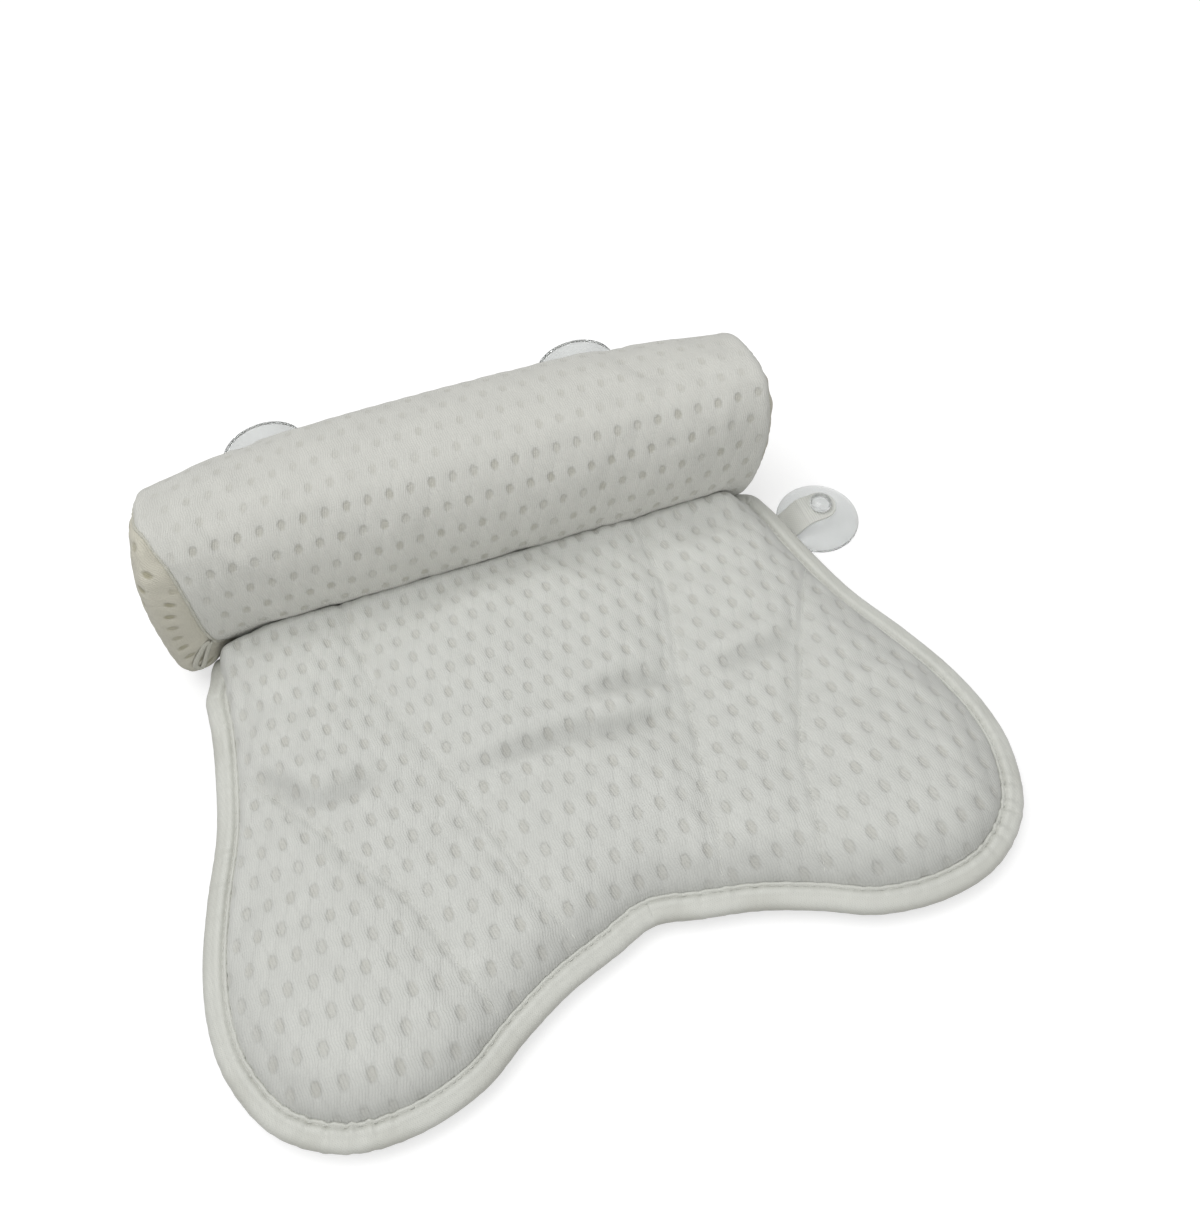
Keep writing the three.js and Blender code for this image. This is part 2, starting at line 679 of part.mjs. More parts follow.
function cupTab(name, sewnTop, run) {
  const sewnMiddle = sewnTop - tabThickness / 2;
  const profile = [[-tabReach, sewnMiddle], [-tabFlat, tabMiddle], [tabFlat, tabMiddle]];
  if (run > 0) profile.splice(1, 0, [run - tabReach, sewnMiddle]);
  const cloth = toSolid(strip(profile, tabThickness, tabWidth));
  const plan = new THREE.Shape();
  plan.moveTo(-tabReach - overrun, -tabWidth / 2);
  plan.lineTo(0, -tabWidth / 2);
  plan.absarc(0, 0, tabWidth / 2, -Math.PI / 2, Math.PI / 2);
  plan.lineTo(-tabReach - overrun, tabWidth / 2);
  const settings = { depth: backClear + overrun, bevelEnabled: false, curveSegments: 5 };
  const column = new THREE.ExtrudeGeometry(plan, settings);
  const hole = new THREE.CylinderGeometry(cupNeckRadius + gap, cupNeckRadius + gap, 2 * overrun, cupSteps);
  hole.rotateX(Math.PI / 2).translate(0, 0, tabMiddle);
  const cut = cloth.intersect(toSolid(column)).subtract(toSolid(hole));
  return piece(`cup_tab_${name}`, fromSolid(cut), tapeFabric);
}

function cupStation(name, sewnTop, run = 0) {
  const station = new THREE.Group();
  station.add(cupTab(name, sewnTop, run), suctionCup(name));
  return station;
}

function matCup(place) {
  const sewnX = place.x - tabReach * Math.cos(place.turn);
  const atSewn = [-0.5, 0, 0.5].map(
    (share) => heightOn(backNet, backHeight, sewnX, place.y + share * tabWidth));
  const sewnTop = place.run ? bindingFloorGap - gap : Math.min(...atSewn) - gap;
  const station = cupStation(place.name, sewnTop, place.run ? shoulderTabRun : 0);
  station.position.set(place.x, place.y, 0);
  station.rotation.z = place.turn;
  return station;
}

// The skin at the back of the roll, at a place along it and a height
function rollBack(along, height) {
  const share = (along - rollOffset) / rollHalfLength;
  const heightShare = 1 - topTaperShare * share * share;
  const up = (height + flatCut - endLift * share ** 4) / heightShare - rollHeight / 2;
  const across = (1 - Math.abs((2 * up) / rollHeight) ** rollSquareness) ** (1 / rollSquareness);
  return rollFront + (rollDepth / 2) * (across + 1) * (1 - rearTaperShare * share * share);
}

function rollCup(name, side) {
  const along = rollOffset + side * (rollHalfLength - rollCupInset);
  const atHole = rollBack(along, rollCupZ);
  const slope = (rollBack(along + 1, rollCupZ) - rollBack(along - 1, rollCupZ)) / 2;
  const atSewn = rollBack(along, rollCupZ + tabReach);
  const station = cupStation(name, backClear + atHole - atSewn - gap);
  const down = new THREE.Vector3(0, 0, -1);
  const inwardsToRoll = new THREE.Vector3(0, -1, 0);
  station.quaternion.setFromRotationMatrix(
    new THREE.Matrix4().makeBasis(down, new THREE.Vector3(1, 0, 0), inwardsToRoll));
  station.position.set(0, backClear + gap, 0);
  const turned = new THREE.Group();
  turned.add(station);
  turned.rotation.z = Math.atan(slope);
  turned.position.set(along, atHole, rollCupZ);
  return turned;
}

// The whole pillow, with its origin on the floor under the middle of its outer size

function bathPillow() {
  const roll = new THREE.Group();
  roll.add(
    rollCover(), rollCore(), rollEndPanel("left", -1), rollEndPanel("right", 1),
    rollPiping("left", -1), rollPiping("right", 1), rollCup("roll_left", -1), rollCup("roll_right", 1),
    hingeStrip());
  roll.position.y = matDepth + hingeBehind;
  roll.rotation.z = -seamSkew;

  const mat = new THREE.Group();
  mat.add(...matPanels(), ...matFills(), matBinding());
  Object.entries(quiltLines).forEach(([name, line]) => mat.add(quiltThread(name, line)));
  cupPlaces.forEach((place) => mat.add(matCup(place)));

  const pillow = new THREE.Group();
  pillow.add(mat, roll);
  pillow.updateMatrixWorld(true);
  const middle = new THREE.Box3().setFromObject(pillow, true).getCenter(new THREE.Vector3());
  pillow.position.set(-middle.x, -middle.y, 0);
  return pillow;
}

export default bathPillow();
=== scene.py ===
# %% [markdown]
# # A bath pillow, dressed in Blender
#
# The real object is a soft head rest for a bath tub. A roll-shaped bolster is sewn along one seam
# to a quilted mat with the outline of a butterfly. Both are covered with a springy mesh fabric that
# is full of small oval dimples, and six clear suction cups hang from fabric tabs.
#
# The engineering model is loaded first and never moves. Each piece made here sits in the space of
# the solid that it replaces, rides on the same body, and adds what the solid leaves out: padding,
# dimples, seams, stitches and the finish of the cloth.

# %% Load the frame
import json
import math

import bpy
import numpy as np
from mathutils import Matrix, Vector


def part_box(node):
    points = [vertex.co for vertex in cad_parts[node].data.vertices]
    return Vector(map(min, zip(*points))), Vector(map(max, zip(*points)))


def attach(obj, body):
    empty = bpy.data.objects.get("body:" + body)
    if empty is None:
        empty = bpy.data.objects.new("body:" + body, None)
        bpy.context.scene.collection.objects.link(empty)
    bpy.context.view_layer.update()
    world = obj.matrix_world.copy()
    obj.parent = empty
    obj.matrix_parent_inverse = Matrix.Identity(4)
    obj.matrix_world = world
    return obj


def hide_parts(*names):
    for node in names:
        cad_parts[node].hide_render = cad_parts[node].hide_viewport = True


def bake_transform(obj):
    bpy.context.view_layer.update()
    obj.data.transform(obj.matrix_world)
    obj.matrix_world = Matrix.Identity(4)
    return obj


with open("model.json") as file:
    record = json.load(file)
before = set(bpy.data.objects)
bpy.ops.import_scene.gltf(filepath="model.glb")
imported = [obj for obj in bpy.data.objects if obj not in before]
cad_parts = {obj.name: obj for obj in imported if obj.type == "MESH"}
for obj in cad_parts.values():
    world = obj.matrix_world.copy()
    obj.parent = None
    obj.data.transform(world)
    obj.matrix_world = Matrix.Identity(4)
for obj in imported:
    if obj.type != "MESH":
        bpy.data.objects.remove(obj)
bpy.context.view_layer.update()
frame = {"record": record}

MM = 0.001

# %% [markdown]
# ## Where things are
#
# The mat was drawn from the tips of its wings, so its own millimetres start there, on its middle
# line. The roll was drawn along its hinge line, a little behind the mat and turned by the angle of
# the seam. Two small functions turn such places into the frame's metres.

# %% The mat's and the roll's own millimetres
SEAM_ANGLE = math.radians(4)
MAT_DEPTH = 238.5
HINGE_BEHIND = 2.9

binding_low, binding_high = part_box("mat_edge_binding")
MAT_START = np.array([(binding_low.x + binding_high.x) / 2 / MM, binding_low.y / MM, 0])
ROLL_START = MAT_START + (0, MAT_DEPTH + HINGE_BEHIND, 0)
ROLL_AXES = np.array([
    [math.cos(SEAM_ANGLE), -math.sin(SEAM_ANGLE), 0],
    [math.sin(SEAM_ANGLE), math.cos(SEAM_ANGLE), 0],
    [0, 0, 1],
])


def from_mat(points):
    """Places in the mat's millimetres as places in the frame, in metres."""
    return (np.asarray(points, float) + MAT_START) * MM


def from_roll(points):
    """Places in the roll's millimetres as places in the frame, in metres."""
    return (np.asarray(points, float) @ ROLL_AXES + ROLL_START) * MM


print("the mat starts at", MAT_START.round(2), "and the roll's hinge line at", ROLL_START.round(2))

# %% [markdown]
# ## Camera, floor and light
#
# The photograph was taken with a normal lens from above and to the left, on a white ground. The
# camera is placed by the viewing angle that was solved from the mat's outline. The light is plain:
# one broad lamp above, a little behind and to the left, a second one low in front that lifts the
# front of the roll, and a dim white surround that fills the shadows. The white of the picture comes
# from the floor's and the world's colour for camera rays, not from more light.

# %% Camera
IMAGE_HEIGHT = 1212
FOCAL_PIXELS = 1400
SENSOR = 36
CAMERA_PLACE = Vector((-105.2, -303.3, 582.1)) * MM
CAMERA_AZIMUTH = math.radians(-23.71)
CAMERA_ELEVATION = math.radians(57.63)

across, upwards = math.cos(CAMERA_AZIMUTH), math.cos(CAMERA_ELEVATION)
camera_back = Vector((
    math.sin(CAMERA_AZIMUTH) * upwards, -across * upwards, math.sin(CAMERA_ELEVATION)))
camera_right = Vector((across, math.sin(CAMERA_AZIMUTH), 0))
camera_up = camera_back.cross(camera_right)
bpy.ops.object.camera_add()
camera = bpy.context.object
camera.matrix_world = Matrix.Translation(CAMERA_PLACE) @ Matrix(
    (camera_right, camera_up, camera_back)).transposed().to_4x4()
camera.data.sensor_width = SENSOR
camera.data.lens = SENSOR * FOCAL_PIXELS / IMAGE_HEIGHT
camera.data.clip_start = 0.01
bpy.context.scene.camera = camera
print("lens:", round(camera.data.lens, 2), "mm")

# %% Helpers for nodes
def feed(tree, value, socket):
    """Links an output to an input, or sets the input to a constant."""
    if isinstance(value, Value):
        value = value.socket
    if isinstance(value, bpy.types.NodeSocket):
        tree.links.new(value, socket)
    else:
        socket.default_value = value


def maths(tree, operation, *values):
    """A Math node; each value is a number, a socket or a Value."""
    node = tree.nodes.new("ShaderNodeMath")
    node.operation = operation
    for socket, value in zip(node.inputs, values):
        feed(tree, value, socket)
    return Value(tree, node.outputs[0])


class Value:
    """An output whose sums and products are Math nodes, so that a shader reads like a formula."""

    def __init__(self, tree, socket):
        self.tree = tree
        self.socket = socket

    def put(self, operation, *others):
        return maths(self.tree, operation, self, *others)

    def __add__(self, other):
        return self.put("ADD", other)

    def __sub__(self, other):
        return self.put("SUBTRACT", other)

    def __rsub__(self, other):
        return maths(self.tree, "SUBTRACT", other, self)

    def __mul__(self, other):
        return self.put("MULTIPLY", other)

    def __truediv__(self, other):
        return self.put("DIVIDE", other)

    def bell(self, width):
        """1 where the value is 0, falling to nothing within about twice the width."""
        far = self / width
        return (far * far * -1.0).put("EXPONENT")


def ranged(tree, value, kind="LINEAR", **limits):
    """A Map Range node with its limits set by name."""
    node = tree.nodes.new("ShaderNodeMapRange")
    node.interpolation_type = kind
    for label, limit in limits.items():
        node.inputs[label.replace("_", " ")].default_value = limit
    feed(tree, value, node.inputs["Value"])
    return Value(tree, node.outputs["Result"])


def shader_with(name, roughness, **settings):
    """A new material, its tree and its Principled shader with sockets set by name."""
    finish = bpy.data.materials.new(name)
    finish.use_nodes = True
    shader = finish.node_tree.nodes["Principled BSDF"]
    shader.inputs["Roughness"].default_value = roughness
    for label, value in settings.items():
        shader.inputs[label.replace("_", " ")].default_value = value
    return finish, finish.node_tree, shader


# %% Light and ground
LAMPS = (  # place in metres, width in metres, power in watts
    ((-0.5, 0.4, 2.0), 1.7, 28.5),
    ((0.1, -2.5, 0.5), 2.0, 20),
)
SURROUND = 0.42
GROUND_COLOUR = (0.5, 0.5, 0.5, 1)
GROUND_GLOW = 0.62
GROUND_SIZE = 8
WHITE = (1, 1, 1, 1)

for place, size, power in LAMPS:
    bpy.ops.object.light_add(type="AREA", location=place)
    lamp = bpy.context.object
    lamp.rotation_euler = Vector(place).to_track_quat("Z", "Y").to_euler()
    lamp.data.shape = "SQUARE"
    lamp.data.size = size
    lamp.data.energy = power


def seen_rays(tree):
    """1 for camera, glossy and transmission rays, which should find a white ground."""
    path = tree.nodes.new("ShaderNodeLightPath")
    total = Value(tree, path.outputs["Is Camera Ray"])
    for name in ("Is Glossy Ray", "Is Transmission Ray"):
        total = total.put("MAXIMUM", path.outputs[name])
    return total


world = bpy.data.worlds.new("surround")
world.use_nodes = True
bpy.context.scene.world = world
tree = world.node_tree
surround = tree.nodes["Background"]
surround.inputs["Color"].default_value = WHITE
feed(tree, ranged(tree, seen_rays(tree), To_Min=SURROUND, To_Max=1), surround.inputs["Strength"])

bpy.ops.mesh.primitive_plane_add(size=GROUND_SIZE)
ground = bpy.context.object
ground.name = "ground"
ground_finish, tree, shader = shader_with(
    "white_ground", 1, Base_Color=GROUND_COLOUR, Specular_IOR_Level=0, Emission_Color=WHITE)
feed(tree, seen_rays(tree) * GROUND_GLOW, shader.inputs["Emission Strength"])
ground.data.materials.append(ground_finish)
bpy.context.scene.view_settings.view_transform = "Standard"
print("lamps:", len(LAMPS), "and a ground of", GROUND_SIZE, "m")

# %% [markdown]
# ## The dimpled mesh fabric
#
# Spacer mesh is knitted with a regular field of oval holes. Neighbouring rows are shifted by half a
# step, and between the holes run fine wavy ribs. One step across is one unit of the cloth's own
# map, and one row is another, so the same formula places the holes in the material and the dents
# in the mesh. The map could come from an unwrap, but it is written as a formula here, because the
# rows on the real mat fan out towards the wings.

# %% How the dimples lie on the mat
DIMPLE_STEP = 10.2
ROW_STEP = 13.2
ROW_GROWTH = 0.0006
FAN = 0.0012
FAN_MIDDLE = 100
FIRST_DIMPLE = (0, 201)
DIMPLE_HALF = (1.95, 3.1)


def mat_cloth(x, y):
    """The cloth's own map on the mat: dimple steps across and rows up."""
    level = y - FAN / 2 * x * x
    row = level / ROW_STEP * (1 + ROW_GROWTH * (level - FAN_MIDDLE))
    level0 = FIRST_DIMPLE[1]
    row = row - level0 / ROW_STEP * (1 + ROW_GROWTH * (level0 - FAN_MIDDLE))
    step = x * (1 + FAN * (y - FAN_MIDDLE)) / DIMPLE_STEP
    return step, row


def puffs(step, row):
    """1 on the soft pad between two dimples of a row, 0 on the fine creases that join dimples."""
    pads = np.sin(math.pi * (step - row / 2)) * np.sin(math.pi * (step + row / 2))
    return np.abs(pads) ** 0.7


def dimple_mask(step, row, half_step, half_row, softness=0.35):
    """1 in the middle of a dimple and 0 outside it."""
    line = np.floor(row + 0.5)
    across = step + 0.5 * np.mod(line, 2)
    across = across - np.floor(across + 0.5)
    up = row - line
    reach = np.sqrt((across / half_step) ** 2 + (up / half_row) ** 2)
    return 1 / (1 + np.exp((reach - 1) / softness * 2))


# %% More helpers for nodes
FLOAT = "NodeSocketFloat"
VECTOR = "NodeSocketVector"
COLOUR = "NodeSocketColor"


def mixed(tree, share, first, second, blend="MIX"):
    """A colour between two others, or with the blend MULTIPLY their product."""
    node = tree.nodes.new("ShaderNodeMix")
    node.data_type = "RGBA"
    node.blend_type = blend
    for place, value in ((0, share), (6, first), (7, second)):
        feed(tree, value, node.inputs[place])
    return node.outputs[2]


def noise(tree, vector, scale, detail):
    node = tree.nodes.new("ShaderNodeTexNoise")
    node.inputs["Scale"].default_value = scale
    node.inputs["Detail"].default_value = detail
    feed(tree, vector, node.inputs["Vector"])
    return Value(tree, node.outputs[0])


def parted(tree, vector):
    """The X, Y and Z of a vector."""
    node = tree.nodes.new("ShaderNodeSeparateXYZ")
    feed(tree, vector, node.inputs[0])
    return [Value(tree, socket) for socket in node.outputs]


def new_group(name, inputs, outputs):
    """A shader node group: its tree, its inputs by name and where its outputs go."""
    tree = bpy.data.node_groups.new(name, "ShaderNodeTree")
    for way, sockets in (("INPUT", inputs), ("OUTPUT", outputs)):
        for label, kind in sockets.items():
            tree.interface.new_socket(label, in_out=way, socket_type=kind)
    given = tree.nodes.new("NodeGroupInput")
    inputs = {socket.name: Value(tree, socket) for socket in given.outputs}
    return tree, inputs, tree.nodes.new("NodeGroupOutput").inputs


def linear(red, green, blue):
    """A colour read from a screen, from 0 to 255, as the renderer's light values."""
    return tuple((c / 255 / 12.92) if c < 11 else ((c / 255 + 0.055) / 1.055) ** 2.4
                 for c in (red, green, blue)) + (1,)


# %% The dimpled mesh as a node group
FRAY = 0.55  # of a dimple's edge
RIM_WIDTH = 0.28
CREASE_WIDTH = 0.22
CREASE_WANDER = 0.16
FAINTEST = 0.4  # how much of the hole's colour the palest dimple has
RIBS = 9
RIB_SQUEEZE = 0.05
RIB_FRAY = 0.12
KNOTS = 11
YARN_LIGHT = 0.07
BLOTCH_LIGHT = 0.16
BASE_LIGHT = 0.87
CREASE_SHADE = 0.08
RIM_SHADE = 0.045
FOLD_SHADE = 0.2

mesh_group, given, made = new_group(
    "dimpled_mesh",
    {"Cloth": VECTOR, "Yarn": COLOUR, "Hole": COLOUR, "Half Step": FLOAT, "Half Row": FLOAT,
     "Plain": FLOAT, "Painted_Shade": FLOAT},
    {"Color": COLOUR, "Height": FLOAT})
tree = mesh_group
cloth_x, cloth_y, unused = parted(tree, given["Cloth"])
line = cloth_y.put("ROUND")
step = cloth_x + line.put("FLOORED_MODULO", 2.0) * 0.5
reach_x = (step - step.put("ROUND")) / given["Half Step"]
reach_y = (cloth_y - line) / given["Half Row"]
fray = noise(tree, given["Cloth"], 6, 2)
reach = (reach_x * reach_x + reach_y * reach_y).put("SQRT") + (fray - 0.5) * FRAY
shown = 1.0 - given["Plain"]
dimple = ranged(tree, reach, "SMOOTHSTEP", From_Min=1.25, From_Max=0.6) * shown
rim = (reach - 1.0).bell(RIM_WIDTH) * shown

wander = (fray - 0.5) * CREASE_WANDER
creases = [((cloth_x + cloth_y * slope + wander) * math.pi).put("SINE").bell(CREASE_WIDTH)
           for slope in (-0.5, 0.5)]
blotch = noise(tree, given["Cloth"], 0.9, 3)
strength = ranged(tree, blotch, From_Min=0.35, From_Max=0.62, To_Min=FAINTEST)
crease = creases[0].put("MAXIMUM", creases[1]) * shown * (strength - FAINTEST)

squeeze = (cloth_y * (2 * math.pi)).put("SINE") * RIB_SQUEEZE
rib_at = (cloth_x + squeeze + fray * RIB_FRAY) * RIBS
rib = (rib_at * math.pi).put("SINE").put("ABSOLUTE")
knot = (cloth_y * (KNOTS * math.pi)).put("SINE").put("ABSOLUTE")
yarn = rib * 0.75 + knot * 0.25
shade = yarn * YARN_LIGHT + blotch * BLOTCH_LIGHT - crease * CREASE_SHADE - rim * RIM_SHADE + BASE_LIGHT
toned = mixed(tree, 1, given["Yarn"], shade, "MULTIPLY")
pierced = mixed(tree, dimple * strength, toned, given["Hole"])
# Painted shade: the "fold" number that each corner keeps darkens the colour.
folded = mixed(tree, 1, pierced, 1.0 - given["Painted_Shade"] * FOLD_SHADE, "MULTIPLY")
feed(tree, folded, made["Color"])
feed(tree, yarn * 0.3 - (dimple * 0.6 + crease * 0.25), made["Height"])
print("the mesh group has", len(tree.nodes), "nodes")

# %% [markdown]
# ## Finishes
#
# The mesh fabric is matt and a little warm. Its dimples look darker, because light falls through
# them into the padding. Two numbers that each corner keeps change it: "plain" hides the dimples
# where a seam pulls the cloth flat and fades them on the roll's top, where their paler colour is
# painted light from above; "fold" is painted shade, which greys the cloth in creases and on the
# slopes that face the front. The plain back, the satin binding and the tabs share a fine weave that
# reads object coordinates, so it has the same size on every piece. The binding also keeps a number,
# "turned", for painted shade where the satin turns away from the light and in the groove by its
# stitches.

# %% The fine weave as a node group
weave_group, given, made = new_group(
    "fine_weave", {"Vector": VECTOR, "Thread": COLOUR, "Pitch": FLOAT, "Contrast": FLOAT},
    {"Color": COLOUR, "Height": FLOAT})
tree = weave_group
waves = [(part * given["Pitch"] * (2 * math.pi)).put("SINE") for part in parted(tree, given["Vector"])]
cross = waves[0] * (waves[1] + waves[2]) * 0.35 + 0.5
cloud = noise(tree, given["Vector"], 60, 4)
tone = (cross - 0.5) * given["Contrast"] + cloud * 0.14 + 0.9
feed(tree, mixed(tree, 1, given["Thread"], tone, "MULTIPLY"), made["Color"])
feed(tree, cross, made["Height"])
print("the weave group has", len(tree.nodes), "nodes")


# %% Materials
def bump_into(tree, shader, height, strength, depth):
    bump = tree.nodes.new("ShaderNodeBump")
    bump.inputs["Strength"].default_value = strength
    bump.inputs["Distance"].default_value = depth
    feed(tree, height, bump.inputs["Height"])
    feed(tree, bump.outputs["Normal"], shader.inputs["Normal"])


def use_group(tree, shader, group, inputs, strength, depth):
    """Takes a material's colour and its normal from a group with the given inputs."""
    node = tree.nodes.new("ShaderNodeGroup")
    node.node_tree = group
    for label, value in inputs.items():
        feed(tree, value, node.inputs[label])
    feed(tree, node.outputs["Color"], shader.inputs["Base Color"])
    bump_into(tree, shader, node.outputs["Height"], strength, depth)


def attribute(tree, name):
    node = tree.nodes.new("ShaderNodeAttribute")
    node.attribute_name = name
    return node.outputs["Fac"]


def mesh_finish(name, yarn, hole, half_step, half_row):
    finish, tree, shader = shader_with(
        name, 0.85, Sheen_Weight=0.15, Sheen_Roughness=0.5, Specular_IOR_Level=0.25)
    cloth = tree.nodes.new("ShaderNodeUVMap")
    cloth.uv_map = "cloth"
    inputs = {
        "Cloth": cloth.outputs[0], "Yarn": yarn, "Hole": hole, "Half Step": half_step,
        "Half Row": half_row, "Plain": attribute(tree, "plain"), "Painted_Shade": attribute(tree, "fold")}
    use_group(tree, shader, mesh_group, inputs, 0.8, 0.8 * MM)
    return finish


def weave_finish(name, thread, pitch, contrast, roughness, **settings):
    finish, tree, shader = shader_with(name, roughness, **settings)
    place = tree.nodes.new("ShaderNodeTexCoord").outputs["Object"]
    inputs = {"Vector": place, "Thread": thread, "Pitch": pitch, "Contrast": contrast}
    use_group(tree, shader, weave_group, inputs, 0.5, 0.2 * MM)
    return finish


HALF_STEP = DIMPLE_HALF[0] / DIMPLE_STEP
HALF_ROW = DIMPLE_HALF[1] / ROW_STEP
ROLL_HALF_STEP = 0.18
ROLL_HALF_ROW = 0.19
mat_mesh = mesh_finish(
    "mat_mesh_fabric", linear(207, 208, 203), linear(197, 197, 190), HALF_STEP, HALF_ROW)
roll_mesh = mesh_finish(
    "roll_mesh_fabric", linear(206, 206, 200), linear(186, 185, 175), ROLL_HALF_STEP, ROLL_HALF_ROW)
end_mesh = mesh_finish(
    "roll_end_mesh_fabric", linear(199, 196, 182), linear(166, 162, 140), ROLL_HALF_STEP, ROLL_HALF_ROW)
seam_edge = weave_finish("seam_edge_cloth", linear(190, 189, 178), 900, 0.2, 0.85)
back_weave = weave_finish("plain_back_weave", linear(216, 217, 211), 700, 0.12, 0.9)
satin_tape = weave_finish(
    "satin_binding", linear(206, 207, 200), 1000, 0.10, 0.5, Sheen_Weight=0.3, Sheen_Roughness=0.35)
tree = satin_tape.node_tree
shader = tree.nodes["Principled BSDF"]
lit = shader.inputs["Base Color"].links[0].from_socket
# Painted shade: where the "turned" number is high, the satin's colour becomes a darker copy of it.
feed(tree, mixed(tree, attribute(tree, "turned"), lit, linear(176, 176, 167)), shader.inputs["Base Color"])
tab_tape = weave_finish("woven_tab_tape", linear(216, 217, 211), 800, 0.3, 0.75)
white_thread = weave_finish("white_thread", linear(212, 213, 207), 1600, 0.35, 0.7)
hinge_cloth = weave_finish("hinge_strip_cloth", linear(208, 209, 202), 800, 0.25, 0.8)

# %% Clear vinyl
VINYL_CLEARNESS = 0.86
clear_vinyl, tree, shader = shader_with(
    "clear_vinyl", 0.12, IOR=1.42, Transmission_Weight=VINYL_CLEARNESS, Coat_Weight=0.3)
cloud = noise(tree, tree.nodes.new("ShaderNodeTexCoord").outputs["Object"], 90, 3)
feed(tree, mixed(tree, cloud, linear(214, 216, 215), linear(232, 234, 233)), shader.inputs["Base Color"])
bump_into(tree, shader, cloud, 0.25, 0.4 * MM)
print("materials:", sorted(finish.name for finish in bpy.data.materials))

# %% [markdown]
# ## A grid that becomes cloth
#
# Every cloth surface here starts as Blender's grid primitive. Its rows and columns are kept as
# numbers, so each corner can be moved to its place on the cushion, and the cloth's own map is
# stored with it. This is quicker and more even than unwrapping a modelled shape, and the dents,
# folds and channels can be as fine as the grid.

# %% Grid helpers
def make_active(obj):
    bpy.ops.object.select_all(action="DESELECT")
    obj.select_set(True)
    bpy.context.view_layer.objects.active = obj


def corners_of(obj):
    flat = np.empty(len(obj.data.vertices) * 3)
    obj.data.vertices.foreach_get("co", flat)
    return flat.reshape(-1, 3)


def grid_piece(name, columns, rows, points, cloth=None):
    """A grid primitive whose corners are moved to points[row, column], in metres."""
    bpy.ops.mesh.primitive_grid_add(x_subdivisions=columns, y_subdivisions=rows, size=1)
    obj = bpy.context.object
    obj.name = name
    mesh = obj.data
    mesh.name = name
    flat = corners_of(obj)
    column = np.rint((flat[:, 0] + 0.5) * columns).astype(int)
    row = np.rint((flat[:, 1] + 0.5) * rows).astype(int)
    mesh.vertices.foreach_set("co", points[row, column].ravel())
    while mesh.uv_layers:
        mesh.uv_layers.remove(mesh.uv_layers[0])
    if cloth is not None:
        corner = np.empty(len(mesh.loops), int)
        mesh.loops.foreach_get("vertex_index", corner)
        layer = mesh.uv_layers.new(name="cloth")
        layer.uv.foreach_set("vector", cloth[row, column][corner].ravel())
    mesh.update()
    return obj, row, column


def store(obj, name, values):
    """Keeps one number for each corner, for a material to read."""
    kept = obj.data.attributes.new(name, "FLOAT", "POINT")
    kept.data.foreach_set("value", np.ascontiguousarray(values, dtype=np.float32))


def faces_outwards(obj, threshold=0):
    """Joins corners that meet, if a distance is given, and turns the faces outwards."""
    make_active(obj)
    bpy.ops.object.mode_set(mode="EDIT")
    bpy.ops.mesh.select_all(action="SELECT")
    if threshold:
        bpy.ops.mesh.remove_doubles(threshold=threshold)
    bpy.ops.mesh.normals_make_consistent(inside=False)
    bpy.ops.object.mode_set(mode="OBJECT")


def close_and_smooth(obj, threshold):
    faces_outwards(obj, threshold)
    bpy.ops.object.shade_smooth()


def thicken(obj, thickness, offset=0):
    """Gives a sheet of cloth its thickness in mm."""
    make_active(obj)
    wall = obj.modifiers.new("Solidify", "SOLIDIFY")
    wall.thickness = thickness * MM
    wall.offset = offset
    bpy.ops.object.modifier_apply(modifier="Solidify")


def edit_select(obj, chosen):
    """Selects the corners that are marked, and leaves the object in edit mode."""
    make_active(obj)
    bpy.ops.object.mode_set(mode="EDIT")
    bpy.ops.mesh.select_mode(type="VERT")
    bpy.ops.mesh.select_all(action="DESELECT")
    bpy.ops.object.mode_set(mode="OBJECT")
    obj.data.vertices.foreach_set("select", np.asarray(chosen, bool))
    bpy.ops.object.mode_set(mode="EDIT")


def cut_and_doubled(obj, cut_away, drop):
    """Deletes the marked corners and extrudes the rest downwards; says which corners are below."""
    edit_select(obj, cut_away)
    bpy.ops.mesh.delete(type="VERT")
    bpy.ops.mesh.select_all(action="SELECT")
    bpy.ops.mesh.extrude_region_move(TRANSFORM_OT_translate={"value": (0, 0, -drop * MM)})
    bpy.ops.object.mode_set(mode="OBJECT")
    is_below = np.empty(len(obj.data.vertices), bool)
    obj.data.vertices.foreach_get("select", is_below)
    return is_below


def dress(obj, finish, body, slot, *nodes):
    """Gives a piece its finish and body and hides the solids it stands for; the slot is not used."""
    obj.data.materials.clear()
    obj.data.materials.append(finish)
    if body:
        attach(obj, body)
    if nodes:
        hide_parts(*nodes)
    print(f"{obj.name}: {len(obj.data.polygons)} faces")


# %% Smooth weights for reading a coarse grid on a fine one
def spline_weights(coarse, fine, loop=False):
    """How much each of the coarse grid's lines counts at each fine line (a cubic B-spline)."""
    places = np.linspace(0, coarse - (0 if loop else 1), fine, endpoint=not loop)
    weights = np.zeros((fine, coarse))
    first = np.floor(places).astype(int)
    share = places - first
    parts = (
        (1 - share) ** 3 / 6,
        (3 * share ** 3 - 6 * share ** 2 + 4) / 6,
        (-3 * share ** 3 + 3 * share ** 2 + 3 * share + 1) / 6,
        share ** 3 / 6,
    )
    for offset, part in enumerate(parts):
        index = first + offset - 1
        index = index % coarse if loop else np.clip(index, 0, coarse - 1)
        np.add.at(weights, (np.arange(fine), index), part)
    return weights


# %% [markdown]
# ## The mat's outline and its quilting lines
#
# The outline is half of a butterfly, mirrored, with its rear edge askew where the roll is sewn on.
# The same named shares as in the engineering model are used, drawn as a smooth curve with many
# more points.

